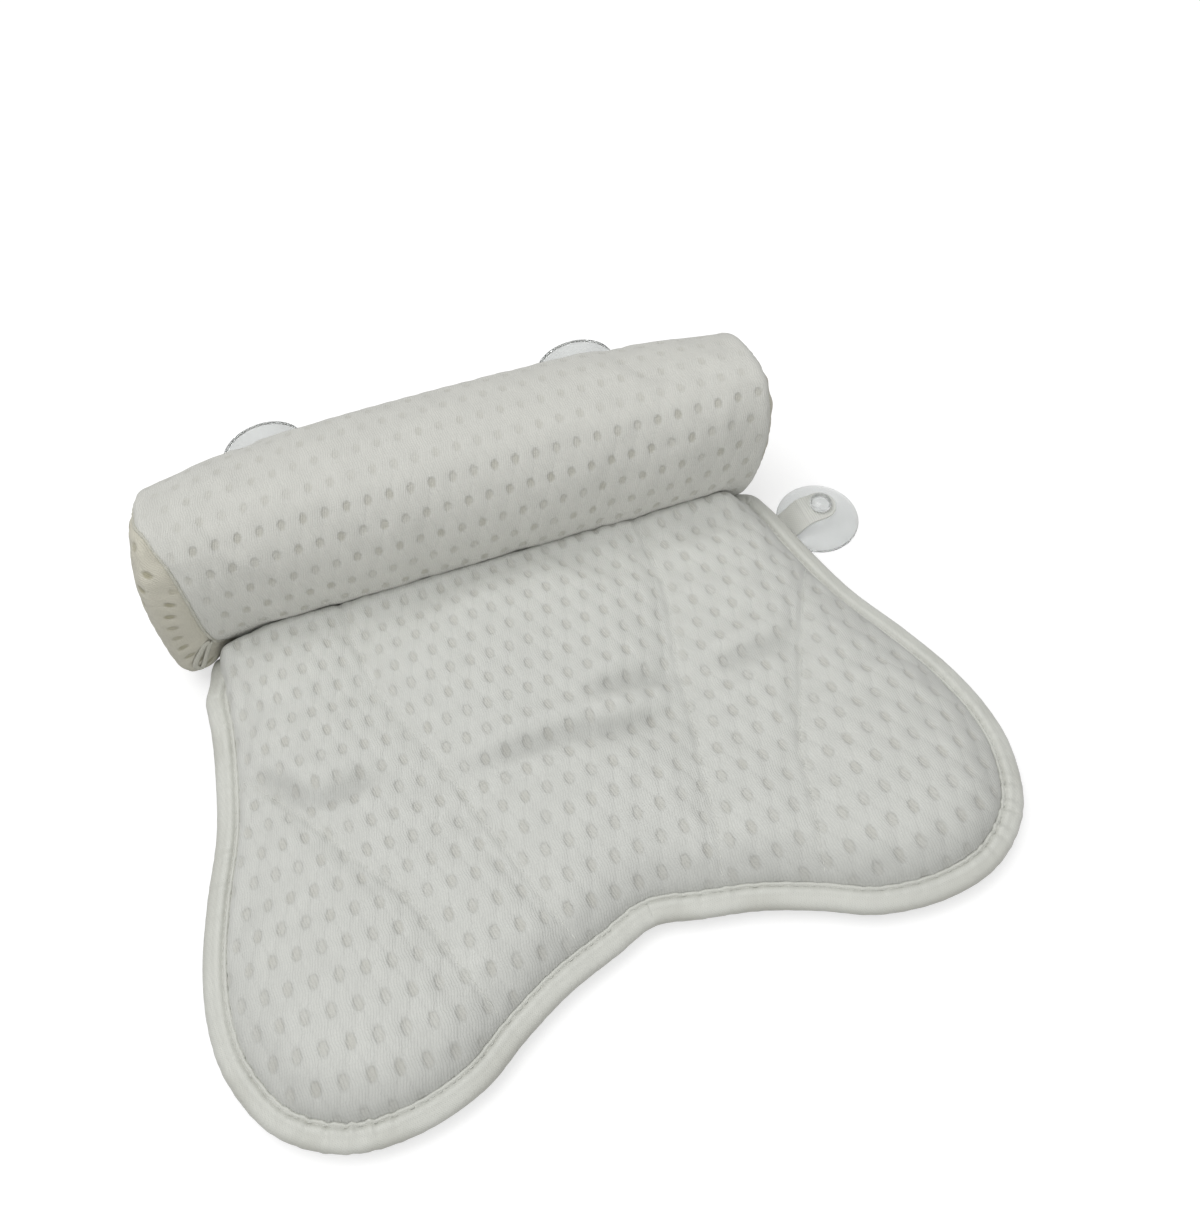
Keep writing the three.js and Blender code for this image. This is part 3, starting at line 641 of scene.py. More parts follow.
# %% Outline
MAT_HALF_WIDTH = 185
NOTCH_SHARE = 0.165
HALF_OUTLINE = (
    (0.103, 0.144), (0.238, 0.115), (0.362, 0.073), (0.486, 0.023), (0.654, 0), (0.805, 0.019),
    (0.93, 0.092), (0.992, 0.205), (1, 0.297), (0.978, 0.402), (0.927, 0.519), (0.859, 0.646),
    (0.818, 0.772), (0.8, 0.847),
)
SHOULDER_HALF_WIDTH = 0.784 * MAT_HALF_WIDTH
SHOULDER_ROUND = {1: 14, -1: 24}
OUTLINE_SPACING = 1.2
LINE_SPACING = 3
SEAM_SHARES = (0.75, 0.4, 0, -0.4, -0.75)
OUTER_QUILT = (
    (0.854, 0.771), (0.762, 0.711), (0.719, 0.665), (0.665, 0.597), (0.6, 0.505), (0.546, 0.43),
    (0.492, 0.354), (0.465, 0.283), (0.443, 0.216), (0.416, 0.153), (0.395, 0.094), (0.378, 0.034),
)
INNER_QUILT = (
    (0.395, 1.03), (0.395, 0.983), (0.397, 0.899), (0.392, 0.816), (0.378, 0.748), (0.346, 0.665),
    (0.316, 0.597), (0.297, 0.53), (0.278, 0.459), (0.254, 0.388), (0.232, 0.317), (0.208, 0.243),
    (0.178, 0.178), (0.157, 0.117),
)


def run_lengths(points):
    """How far along a line of points each of them is."""
    return np.concatenate([[0], np.cumsum(np.hypot(*np.diff(points, axis=0).T))])


def unit(vectors):
    return vectors / np.linalg.norm(vectors, axis=-1, keepdims=True)


def seam_line(x):
    """Where the mat's rear edge runs, along the roll's seam."""
    return MAT_DEPTH - x * math.tan(SEAM_ANGLE)


def smooth_line(points, closed, spacing):
    """Evenly spaced points on a centripetal spline through the given ones."""
    points = np.asarray(points, float)
    if closed:
        padded = np.vstack([points[-1], points, points[:2]])
    else:
        padded = np.vstack([2 * points[0] - points[1], points, 2 * points[-1] - points[-2]])
    dense = []
    share = np.linspace(0, 1, 24, endpoint=False)[:, None]
    for p0, p1, p2, p3 in zip(padded, padded[1:], padded[2:], padded[3:]):
        gaps = [max(math.dist(a, b), 1e-6) ** 0.5 for a, b in ((p0, p1), (p1, p2), (p2, p3))]
        start = ((p1 - p0) / gaps[0] - (p2 - p0) / (gaps[0] + gaps[1]) + (p2 - p1) / gaps[1]) * gaps[1]
        end = ((p2 - p1) / gaps[1] - (p3 - p1) / (gaps[1] + gaps[2]) + (p3 - p2) / gaps[2]) * gaps[1]
        cubic = 2 * p1 - 2 * p2 + start + end
        square = -3 * p1 + 3 * p2 - 2 * start - end
        dense.append(p1 + share * start + share ** 2 * square + share ** 3 * cubic)
    dense.append(points[:1] if closed else points[-1:])
    dense = np.vstack(dense)
    length = run_lengths(dense)
    count = max(int(round(length[-1] / spacing)), 2)
    at = np.linspace(0, length[-1], count + 1)
    even = np.column_stack([np.interp(at, length, dense[:, k]) for k in (0, 1)])
    return even[:-1] if closed else even


def shoulder_corner(side):
    """Three points of the rounded corner where the outline meets the roll's seam."""
    round_share = 1 - math.sqrt(0.5)
    corner = []
    for in_share, down_share in ((0, 1), (round_share, round_share), (1, 0)):
        x = side * (SHOULDER_HALF_WIDTH - in_share * SHOULDER_ROUND[side])
        corner.append((x, seam_line(x) - down_share * SHOULDER_ROUND[side]))
    return corner


def mirrored(shares, side):
    return [(side * x * MAT_HALF_WIDTH, y * MAT_DEPTH) for x, y in shares]


outline_corners = [(0, NOTCH_SHARE * MAT_DEPTH), *mirrored(HALF_OUTLINE, 1), *shoulder_corner(1)]
outline_corners += [(s * SHOULDER_HALF_WIDTH, seam_line(s * SHOULDER_HALF_WIDTH)) for s in SEAM_SHARES]
outline_corners += [*shoulder_corner(-1)[::-1], *mirrored(HALF_OUTLINE, -1)[::-1]]
OUTLINE = smooth_line(outline_corners, True, OUTLINE_SPACING)
QUILT_LINES = {
    label: smooth_line(mirrored(shares, side), False, LINE_SPACING)
    for label, shares, side in (("wing_left", OUTER_QUILT, -1), ("left", INNER_QUILT, -1),
                                ("right", INNER_QUILT, 1), ("wing_right", OUTER_QUILT, 1))}
print("outline:", len(OUTLINE), "points, about", round(len(OUTLINE) * OUTLINE_SPACING), "mm round")


# %% Distances
def from_line(x, y, line, closed=False):
    """The distance to a line of points, on which side of it, and how far along it."""
    least = np.full(np.shape(x), 1e9)
    side = np.ones(np.shape(x))
    along = np.zeros(np.shape(x))
    passed = 0
    ends = np.roll(line, -1, axis=0) if closed else line[1:]
    for (ax, ay), (bx, by) in zip(line, ends):
        dx, dy = bx - ax, by - ay
        length = math.hypot(dx, dy)
        share = np.clip(((x - ax) * dx + (y - ay) * dy) / length ** 2, 0, 1)
        far = np.hypot(x - ax - share * dx, y - ay - share * dy)
        nearer = far < least
        least = np.where(nearer, far, least)
        side = np.where(nearer, np.sign(dx * (y - ay) - dy * (x - ax)), side)
        along = np.where(nearer, passed + share * length, along)
        passed += length
    return least, side, along


def depth_inside(x, y):
    """How far a place is inside the mat's edge; below zero outside it."""
    least, side, along = from_line(x, y, OUTLINE, True)
    return least * side


def smoothstep(value, low, high):
    """0 below the first limit and 1 above the second, with a soft change between them."""
    share = np.clip((value - low) / (high - low), 0, 1)
    return share * share * (3 - 2 * share)


def lerp(a, b, share):
    return a + (b - a) * share


def bell(value, width, middle=0):
    """1 where a value is in the middle, falling to nothing within about twice the width."""
    return np.exp(-(((value - middle) / width) ** 2))


def ends_faded(along, length, share):
    """1 in the middle of a line, falling to 0 over a share of its length at each end."""
    return smoothstep(along, -1, share * length) * (1 - smoothstep(along, (1 - share) * length, length + 1))


def drawn_to_edge(points, depth, hidden, cell):
    """Moves a grid's first corners inside a cut out to the cut, so that it runs smoothly."""
    slope_y, slope_x = np.gradient(depth, cell)
    steep = np.maximum(np.hypot(slope_x, slope_y), 0.3)
    past = depth - hidden
    far = np.where((past >= 0) & (past < cell), past, 0)
    points[:, :, 0] -= far * slope_x / steep
    points[:, :, 1] -= far * slope_y / steep
    return points


# %% [markdown]
# ## The shape of the roll
#
# The mat leans against the roll, so the roll's shape is needed first. It is a squarish bolster,
# fuller in its middle, that leans out at the ends. The stuffing settles, so the rear of its top
# lies a little lower than the front, and the lower front of the left end stands out as a corner.

# %% The roll's skin
ROLL_DEPTH = 85.7
ROLL_HEIGHT = 95.7
SQUARENESS = 2.21
ROLL_FRONT = -13.9
ROLL_HALF_LENGTH = SHOULDER_HALF_WIDTH - 8
ROLL_OFFSET = -4
TAPER_POWER = 2.86
REAR_TAPER = {-1: 0.176, 1: 0.222}
TOP_TAPER = {-1: 0.014, 1: 0.003}
END_LIFT = {-1: 1.5, 1: 3.5}
END_LEAN = {-1: 0.028, 1: 0.116}
END_TURN = {-1: -0.152, 1: -0.074}
END_BULGE = {-1: 10.1, 1: 11.8}
DOME_ROUND = {-1: 0.485, 1: 0.553}
LOW_CORNER = {-1: 11.0, 1: 2.0}
FLAT_CUT = 1.2
TOP_EASE = 5.1
TAB_ALONG = 80
TAB_PULL = 15
LOW_CORNER_TURN = 228
LOW_CORNER_WIDTH = 25
FRONT_CURVE = 0.3
END_OVERHANG = 8
NO_LIMIT = 1000
FLOOR_GAP = 0.05


def bent_power(value):
    """Turns a sine or cosine of a round section into that of a squarish one."""
    return np.sign(value) * np.abs(value) ** (2 / SQUARENESS)


def eased(angle, along):
    """How far the cover lies inside a full roll on its rear top side, but not where a tab pulls it."""
    turn = np.degrees(angle)
    ease = TOP_EASE * smoothstep(turn, -8, 32) * (1 - smoothstep(turn, 75, 150))
    pull = sum(bell(along * ROLL_HALF_LENGTH, TAB_PULL, side * TAB_ALONG) for side in (-1, 1))
    return ease * (1 - pull * (1 - smoothstep(turn, 14, 34)))


def by_end(values, along):
    """The left end's value on the left half of the roll, and the right end's on the right."""
    return np.where(along < 0, values[-1], values[1])


def low_corner(angle, along):
    """How far the stuffing has settled forwards into the lower front of an end."""
    off = np.mod(np.degrees(angle) - LOW_CORNER_TURN + 180, 360) - 180
    reach = bell(off, LOW_CORNER_WIDTH) * smoothstep(np.abs(along), 0.84, 0.97)
    return by_end(LOW_CORNER, along) * reach


def roll_skin(angle, along, inset=0.0):
    """A place on the roll: angle round it, and along it from -1 to 1, in the roll's own mm."""
    ease = eased(angle, along)
    taper = np.abs(along) ** TAPER_POWER
    across = (ROLL_DEPTH / 2 - inset) * bent_power(np.cos(angle)) - ease * np.cos(angle)
    up = (ROLL_HEIGHT / 2 - inset) * bent_power(np.sin(angle)) - ease * np.sin(angle)
    lean = along ** 3 * (by_end(END_LEAN, along) * up + by_end(END_TURN, along) * across)
    z = (up + ROLL_HEIGHT / 2) * (1 - by_end(TOP_TAPER, along) * taper) - FLAT_CUT
    z = z + by_end(END_LIFT, along) * along ** 4
    y = (across + ROLL_DEPTH / 2) * (1 - by_end(REAR_TAPER, along) * taper)
    return np.stack([
        ROLL_OFFSET + along * ROLL_HALF_LENGTH + lean,
        ROLL_FRONT + FRONT_CURVE * along ** 2 + y - low_corner(angle, along),
        np.maximum(z, inset + FLOOR_GAP),
    ], axis=-1)


def even_angles(count):
    """Angles that part the roll's section into equal lengths, starting underneath."""
    angle = np.linspace(-0.5 * math.pi, 1.5 * math.pi, 2001)
    ring = roll_skin(angle, np.zeros(2001))[:, 1:]
    length = run_lengths(ring)
    return np.interp(np.linspace(0, length[-1], count + 1), length, angle), length[-1]


def roll_underside(x, y):
    """The height of the roll's lower front over a place of the mat, or high up where it has none."""
    own = (np.stack([x, y, 0 * x], -1) + MAT_START - ROLL_START) @ ROLL_AXES.T
    own_x, own_y = own[..., 0], own[..., 1]
    along = np.clip((own_x - ROLL_OFFSET) / ROLL_HALF_LENGTH, -1, 1)
    front = ROLL_FRONT + FRONT_CURVE * along ** 2
    narrowed = 1 - by_end(REAR_TAPER, along) * np.abs(along) ** TAPER_POWER
    settled = 0
    for unused in range(3):
        across = np.clip(1 - (own_y + settled - front) / narrowed / (ROLL_DEPTH / 2), 0, 1)
        level = (1 - across ** SQUARENESS) ** (1 / SQUARENESS)
        turn = math.pi + np.arctan2(level ** (SQUARENESS / 2), across ** (SQUARENESS / 2))
        settled = low_corner(turn, along)
    z = (1 - level) * ROLL_HEIGHT / 2 + by_end(END_LIFT, along) * along ** 4 - FLAT_CUT
    beside = np.abs(own_x - ROLL_OFFSET) > ROLL_HALF_LENGTH + END_OVERHANG
    return np.where((own_y + settled < front) | beside, NO_LIMIT, z)


ROUND_CELLS = 192
ALONG_CELLS = 184
angles, roll_girth = even_angles(ROUND_CELLS)
print("the roll is", round(roll_girth), "mm round")

# %% [markdown]
# ## The mat's padding
#
# The padding swells from the binding to its full height, more gently in front than behind, and is
# held down along four stitched channels. It could be only a formula, but stuffed cloth also bulges
# unevenly between its seams. So a coarse closed pad is first blown up by the cloth simulation,
# pinned along its edge and its channels, and what it gains is added to the formula on a fine grid.

# %% Heights by formula
BINDING_INNER = 10.8
TOP_EDGE = 12.0
BACK_EDGE = 7.15
CROWN_RISE = 18.5
QUILT_DEPTH = 1.7
QUILT_HALF_WIDTH = 7
SEWN_INNER = 1.2
SLOPE_SEWN = 12
SLOPE_REAR = 16
SLOPE_MIDDLE = 34
SLOPE_FRONT = 62
CORNER_IN = 4.2
SAG_HEIGHT = 5
SAG_LENGTH = 25
BACK_CLEAR = 17.36
LIFTED = ((-128, 62), (128, 62), (-115.54, 204.5))
LIFT_TOP = 12
LIFT_FOOT = 55
LIFT_EDGE = 7


def slope_length(y):
    """How far in from the binding the padding reaches its full height."""
    ahead = lerp(SLOPE_MIDDLE, SLOPE_FRONT, 1 - smoothstep(y, 70, 150))
    return lerp(ahead, SLOPE_REAR, smoothstep(y, 185, 225))


def sewn_zone(x, y):
    """1 along the rear edge, where the cloth runs into the roll's seam with no binding to be seen."""
    behind = 1 - smoothstep(seam_line(x) - y, 14, 26)
    return behind * (1 - smoothstep(x, 119, 131)) * smoothstep(x, -139, -129)


def corner_in(x, y):
    """How far the left shoulder is drawn in, where it slips out from under the roll."""
    return CORNER_IN * smoothstep(-x, 104, 118) * smoothstep(y, 218, 232)


def swell_at(depth, x, y):
    """0 at the mat's edge and 1 where the padding has its full height."""
    zone = sewn_zone(x, y)
    inner = lerp(BINDING_INNER, SEWN_INNER + corner_in(x, y), zone)
    share = np.clip((depth - inner) / lerp(slope_length(y), SLOPE_SEWN, zone), 0, 1)
    return np.sqrt(1 - (1 - share) ** 2)


def top_height(x, y, depth, quilt):
    """The broad height of the top, before the fine grid adds to it."""
    swell = swell_at(depth, x, y)
    return TOP_EDGE + CROWN_RISE * swell - QUILT_DEPTH * bell(quilt, QUILT_HALF_WIDTH) * swell


def back_height(x, y, depth):
    """The height of the back, which sags between the places that lift it."""
    inside = np.maximum(depth - BINDING_INNER, 0)
    sag = lerp(BACK_EDGE, SAG_HEIGHT, smoothstep(inside, 0, SAG_LENGTH))
    near = np.min([np.hypot(x - cx, y - cy) for cx, cy in LIFTED], axis=0)
    lift = 1 - smoothstep(near, LIFT_TOP, LIFT_FOOT)
    return lerp(sag, BACK_CLEAR, lift * smoothstep(inside, 0, LIFT_EDGE))


def nearest_quilt(x, y):
    """Distance to the nearest quilting line, its side, and how far along it."""
    found = [from_line(x, y, line) for line in QUILT_LINES.values()]
    best = np.argmin([f[0] for f in found], axis=0)
    return [np.choose(best, [f[k] for f in found]) for k in range(3)]


# %% Blow up a coarse pad
PAD_CELL = 5
MAT_LEFT, MAT_FRONT = -190, -5
PAD_COLUMNS, PAD_ROWS = 76, 52
PAD_DEPTH = 6
PRESSURE = 4
PAD_CAP = 6
PAD_SPARED = 3  # how much lower the pad starts, which its swelling makes up for
CLOTH_STEPS = 20
CLOTH_SLACK = 0.02


def tag_lines(obj, row, column):
    """Keeps the row and column that each corner has in its grid."""
    for label, values in (("line_row", row), ("line_column", column)):
        kept = obj.data.attributes.new(label, "INT", "POINT")
        kept.data.foreach_set("value", values.astype(np.int32))


def read_lines(obj):
    """The row and column that each corner had, also after an edit."""
    found = []
    for label in ("line_row", "line_column"):
        found.append(np.empty(len(obj.data.vertices), np.int32))
        obj.data.attributes[label].data.foreach_get("value", found[-1])
    return found


def run_cloth(obj, held):
    """Some steps of the cloth simulation, with the held corners pinned and no gravity, applied."""
    pinned = obj.vertex_groups.new(name="pinned")
    pinned.add(np.nonzero(held)[0].tolist(), 1, "REPLACE")
    make_active(obj)
    cloth = obj.modifiers.new("Cloth", "CLOTH")
    settings = cloth.settings
    settings.quality = 6
    settings.mass = 0.3
    settings.tension_stiffness = 12
    settings.compression_stiffness = 12
    settings.shear_stiffness = 5
    settings.bending_stiffness = 0.4
    settings.shrink_min = -CLOTH_SLACK
    settings.use_pressure = True
    settings.uniform_pressure_force = PRESSURE
    settings.vertex_group_mass = "pinned"
    settings.effector_weights.gravity = 0
    for step in range(1, CLOTH_STEPS + 1):
        bpy.context.scene.frame_set(step)
    bpy.ops.object.modifier_apply(modifier="Cloth")
    bpy.context.scene.frame_set(1)


def capped(moves, cap):
    """Moves that are no longer than the cap."""
    far = np.linalg.norm(moves, axis=1, keepdims=True)
    return moves * np.minimum(1, cap / np.maximum(far, 1e-9))


def swollen_mat():
    """How the top of the pad moves when it is filled, for each line of the coarse grid, in mm."""
    x, y = np.meshgrid(
        MAT_LEFT + PAD_CELL * np.arange(PAD_COLUMNS + 1), MAT_FRONT + PAD_CELL * np.arange(PAD_ROWS + 1))
    moves = np.zeros((PAD_ROWS + 1, PAD_COLUMNS + 1, 3))
    depth = depth_inside(x, y)
    quilt, side, along = nearest_quilt(x, y)
    z = top_height(x, y, depth, quilt) - PAD_SPARED * swell_at(depth, x, y)
    pad, row, column = grid_piece(
        "filling_test", PAD_COLUMNS, PAD_ROWS, from_mat(np.dstack([x, y, z])))
    tag_lines(pad, row, column)
    is_below = cut_and_doubled(pad, depth[row, column] < PAD_DEPTH, 4)
    at_row, at_column = read_lines(pad)
    before = corners_of(pad)
    lower = from_mat(np.dstack([x, y, back_height(x, y, depth)]))[at_row, at_column]
    before[is_below] = lower[is_below]
    pad.data.vertices.foreach_set("co", before.ravel())
    faces_outwards(pad)
    here = depth[at_row, at_column]
    run_cloth(pad, is_below | (here < PAD_DEPTH + PAD_CELL) | (quilt[at_row, at_column] < PAD_CELL / 2))
    moved = (corners_of(pad) - before) / MM
    top = ~is_below
    print("the pad swelled by", moved[top, 2].mean().round(2), "mm, at most", moved[:, 2].max().round(2))
    moves[at_row[top], at_column[top]] = capped(moved[top], PAD_CAP)
    bpy.data.objects.remove(pad)
    return moves


MAT_MOVES = swollen_mat()
print("the mat's corners moved by at most", np.abs(MAT_MOVES).max().round(2), "mm")

# %% [markdown]
# ## The fine top of the mat
#
# On the fine grid come the things that a thread or a thumb leaves in stuffed cloth: the sharp
# groove under each row of stitches with a low ridge beside it, small puckers across it, a few soft
# creases, and the dent of every dimple.

# %% Creases and puckers
CREASES = (
    ((-54, 133.5), (-24, 130.5), (3, 127.5), (16, 123.5), (50, 119.5)),
    ((10, 144.5), (25, 142.5), (58, 137.5)),
    ((71, 135.5), (92, 133.5), (117, 135.5)),
    ((-141, 169.5), (-131, 164.5), (-122, 152.5), (-111, 143.5), (-102, 142.5), (-88, 144.5), (-79, 142.5)),
)
CREASE_DEPTH = (4.0, 3.0, 3.0, 3.6)
CREASE_HALF_WIDTH = 5.4
GROOVE_DEPTH = 0.7
GROOVE_HALF_WIDTH = 1.5
RIDGE_HEIGHT = 0.55
PUCKER_HEIGHT = 0.2
DENT = 0.6
PUFF = 0.55


def creases_at(x, y):
    """How the top sinks in its creases and swells beside them."""
    total = np.zeros(np.shape(x))
    for points, depth in zip(CREASES, CREASE_DEPTH):
        line = smooth_line(points, False, LINE_SPACING)
        far, side, along = from_line(x, y, line)
        ends = ends_faded(along, len(line) * LINE_SPACING, 0.25)
        swelling = 0.5 * bell(far * side, 6, 10)
        total += ends * depth * (swelling - bell(far, CREASE_HALF_WIDTH))
    return total


def puckers_at(quilt, side, along):
    """Small puckers across a row of stitches, of two lengths, so that they don't look regular."""
    wave = np.sin(along / 9.5 * 2 * math.pi + 1.3 * np.sin(along / 23) + side)
    wave = wave + 0.5 * np.sin(along / 5.3 * 2 * math.pi + 2 * side)
    return PUCKER_HEIGHT * wave * bell(quilt, 4.5, 3.5)


def fine_top(x, y, depth, quilt, side, along):
    """The height of the top with its grooves, ridges, puckers and creases."""
    swell = swell_at(depth, x, y)
    z = top_height(x, y, depth, quilt)
    z = z - GROOVE_DEPTH * bell(quilt, GROOVE_HALF_WIDTH) * swell
    z = z + RIDGE_HEIGHT * bell(quilt, 1.2, 3.2) * swell
    z = z + puckers_at(quilt, side, along) * swell
    return z + creases_at(x, y) * swell


# %% Build the fine top
FINE_CELL = 1.25
HIDDEN_DEPTH = 5.2
UNDER_ROLL_GAP = 0.2
fine_columns = int(PAD_COLUMNS * PAD_CELL / FINE_CELL)
fine_rows = int(PAD_ROWS * PAD_CELL / FINE_CELL)
X, Y = np.meshgrid(
    MAT_LEFT + FINE_CELL * np.arange(fine_columns + 1), MAT_FRONT + FINE_CELL * np.arange(fine_rows + 1))
DEPTH = depth_inside(X, Y)
QUILT, QUILT_SIDE, QUILT_ALONG = nearest_quilt(X, Y)
SEWN = sewn_zone(X, Y)
row_weights = spline_weights(PAD_ROWS + 1, fine_rows + 1)
column_weights = spline_weights(PAD_COLUMNS + 1, fine_columns + 1)
moves = np.dstack([row_weights @ MAT_MOVES[:, :, k] @ column_weights.T for k in range(3)])
shift_in = smoothstep(DEPTH, BINDING_INNER, BINDING_INNER + 8)[:, :, None]
moves = moves * shift_in
TOP = fine_top(X, Y, DEPTH, QUILT, QUILT_SIDE, QUILT_ALONG) + moves[:, :, 2]
TOP = TOP - PAD_SPARED * swell_at(DEPTH, X, Y) * shift_in[:, :, 0]
TOP = np.minimum(TOP, roll_underside(X, Y) - UNDER_ROLL_GAP)
step, row = mat_cloth(X, Y)
plain = 0.55 * bell(QUILT, 3.0) + 0.5 * (1 - smoothstep(DEPTH, 10, 17)) * (1 - SEWN)
dents = DENT * dimple_mask(step, row, HALF_STEP, HALF_ROW) - PUFF * (puffs(step, row) - 0.4)
top_dented = TOP - (1 - plain) * dents * smoothstep(DEPTH, 2, 13)
hidden = lerp(HIDDEN_DEPTH, SEWN_INNER + corner_in(X, Y), SEWN)
top_points = np.dstack([X + moves[:, :, 0], Y + moves[:, :, 1], top_dented])
top_points = drawn_to_edge(top_points, DEPTH, hidden, FINE_CELL)
mat_top, at_row, at_column = grid_piece(
    "mat_cushion", fine_columns, fine_rows, from_mat(top_points), np.dstack([step, row]))
store(mat_top, "plain", plain[at_row, at_column])
print("fine top:", len(mat_top.data.vertices), "corners")

# %% Painted shade in its creases and on its slopes
DEEPEST = 4.8  # the sinking of a crease that counts as one
# Painted shade on the slopes near the edge, but not at the sewn rear nor along the left side.
slope_shade_reach = (1 - smoothstep(DEPTH, 11, 34)) * (1 - SEWN) * (1 - (X < -60) * smoothstep(Y, 40, 110))
to_front = np.clip(np.gradient(DEPTH, Y[:, 0], axis=0), 0, 1)
edge_shade = 0.5 + 0.5 * to_front + 0.1 * smoothstep(X, 20, 150)
# The "fold" number is painted shade: darker colour in the creases and on those slopes.
fold = np.clip(-creases_at(X, Y) / DEEPEST, 0, 0.8) + edge_shade * slope_shade_reach
store(mat_top, "fold", fold[at_row, at_column])
print("greyed on", round(100 * (fold > 0.1).mean()), "% of the grid")

# %% Close it underneath
UNDER_CLEARANCE = 0.5
UNDER_COARSENESS = 0.12
is_below = cut_and_doubled(mat_top, (DEPTH < hidden)[at_row, at_column], 2)
places = corners_of(mat_top)
in_mm = places[is_below] / MM - MAT_START
under = back_height(in_mm[:, 0], in_mm[:, 1], depth_inside(in_mm[:, 0], in_mm[:, 1]))
places[is_below, 2] = np.minimum(under + UNDER_CLEARANCE, in_mm[:, 2] - 1) * MM
mat_top.data.vertices.foreach_set("co", places.ravel())
bpy.ops.object.mode_set(mode="EDIT")
bpy.ops.mesh.decimate(ratio=UNDER_COARSENESS)
bpy.ops.object.mode_set(mode="OBJECT")
close_and_smooth(mat_top, 0.001 * MM)
dress(mat_top, mat_mesh, "mat", "mesh_fabric", "mat_top_panel", "mat_fill_wing_left",
      "mat_fill_left", "mat_fill_centre", "mat_fill_right", "mat_fill_wing_right")


def top_at(x, y):
    """The height of the finished top at a place, read from the fine grid."""
    column = np.clip((np.asarray(x) - MAT_LEFT) / FINE_CELL, 0, fine_columns - 1.001)
    row = np.clip((np.asarray(y) - MAT_FRONT) / FINE_CELL, 0, fine_rows - 1.001)
    c, r = column.astype(int), row.astype(int)
    a, b = column - c, row - r
    near = TOP[r, c] * (1 - a) + TOP[r, c + 1] * a
    far = TOP[r + 1, c] * (1 - a) + TOP[r + 1, c + 1] * a
    return near * (1 - b) + far * b


# %% [markdown]
# ## The plain back of the mat
#
# The back is one sheet of plain knit. It sags between the cups and is lifted over the wing cups
# and the left shoulder cup. A coarser grid is enough, and a Solidify modifier gives the sheet its
# thickness.

# %% Back panel
BACK_CELL = 2.5
BACK_THICKNESS = 1.6
BACK_RIDGE = 0.5
BACK_HIDDEN = 4.2
back_columns, back_rows = int(380 / BACK_CELL), int(260 / BACK_CELL)
x, y = np.meshgrid(
    MAT_LEFT + BACK_CELL * np.arange(back_columns + 1), MAT_FRONT + BACK_CELL * np.arange(back_rows + 1))
depth = depth_inside(x, y)
quilt, side, along = nearest_quilt(x, y)
z = back_height(x, y, depth) + BACK_RIDGE * bell(quilt, 2.5) * smoothstep(depth, 12, 20)
hidden = lerp(BACK_HIDDEN, SEWN_INNER + corner_in(x, y), sewn_zone(x, y))
back_points = drawn_to_edge(np.dstack([x, y, z]), depth, hidden, BACK_CELL)
back, at_row, at_column = grid_piece("mat_back", back_columns, back_rows, from_mat(back_points))
edit_select(back, (depth < hidden)[at_row, at_column])
bpy.ops.mesh.delete(type="VERT")
bpy.ops.object.mode_set(mode="OBJECT")
thicken(back, BACK_THICKNESS, -1)
close_and_smooth(back, 0.001 * MM)
dress(back, back_weave, "mat", "back_fabric", "mat_back_panel")

# %% [markdown]
# ## The edge binding
#
# A satin tape is folded over the raw edges of both panels and stitched through. The fold makes a
# round welt with a soft crease along its middle, and the stitched inner edge stands up as a thin
# bright line beside a thin dark groove. It is a section carried round the outline, with small
# puckers where the tape is eased round the wings.

# %% Binding
BINDING_FLOOR = 4.5
BINDING_SECTION = (
    (10.9, 12.55), (11.05, 13.3), (10.6, 13.95), (9.95, 14.0), (9.45, 13.45), (9.1, 13.2),
    (8.6, 13.9), (7.8, 14.45), (6.8, 14.62), (5.8, 14.35), (5.0, 13.85), (4.2, 13.6), (3.1, 13.3),
    (1.9, 12.6), (0.8, 11.3), (0.1, 9.6), (0.2, 8.0), (1.1, 6.4), (2.8, 5.1), (4.9, 4.55), (7.0, 4.6),
    (8.8, 5.0), (9.9, 5.3), (10.5, 6.1), (10.4, 6.8), (8.0, 6.86), (5.0, 6.86), (3.0, 7.4),
    (3.0, 11.8), (5.0, 12.3), (8.0, 12.3),
)
SEWN_SQUASH = 0.45  # how thick the binding stays where it runs into the roll's seam
section = np.array(BINDING_SECTION + BINDING_SECTION[:1])
loop = np.vstack([OUTLINE, OUTLINE[:1]])
inward = np.roll(OUTLINE, -1, axis=0) - np.roll(OUTLINE, 1, axis=0)
inward = unit(np.column_stack([-inward[:, 1], inward[:, 0]]))
inward = np.vstack([inward, inward[:1]])
round_mm = run_lengths(loop)
tight = bell(np.abs(loop[:, 0]), 45, 150) * (loop[:, 1] < 150)
ripple = np.sin(round_mm / 8.3 * 2 * math.pi + 2.5 * np.sin(round_mm / 31))
ripple = ripple + 0.6 * np.sin(round_mm / 4.7 * 2 * math.pi + 2 * np.sin(round_mm / 19))
ripple *= (0.2 + 0.3 * tight) * (0.65 + 0.5 * np.sin(round_mm / 43 + 1) * np.sin(round_mm / 17))
tucked = sewn_zone(loop[:, 0], loop[:, 1])
drawn_in = corner_in(loop[:, 0], loop[:, 1])
binding_points = np.empty((len(section), len(loop), 3))
for k, (inset, z) in enumerate(section):
    lift = ripple * (1.0 if z > 12 and inset > 3.5 else 0.3)
    pull = ripple * (0.5 if inset > 8 else 0.25)
    inset_here = lerp(inset + pull + drawn_in * 0.6, inset * 0.15 - 0.9 + drawn_in, tucked)
    binding_points[k, :, :2] = loop + inward * inset_here[:, None]
    binding_points[k, :, 2] = lerp(z + lift, BINDING_FLOOR + (z - BINDING_FLOOR) * SEWN_SQUASH, tucked)
cloth = np.dstack(np.meshgrid(round_mm, run_lengths(section)))
binding, at_row, at_column = grid_piece(
    "edge_binding", len(loop) - 1, len(section) - 1, from_mat(binding_points), cloth)
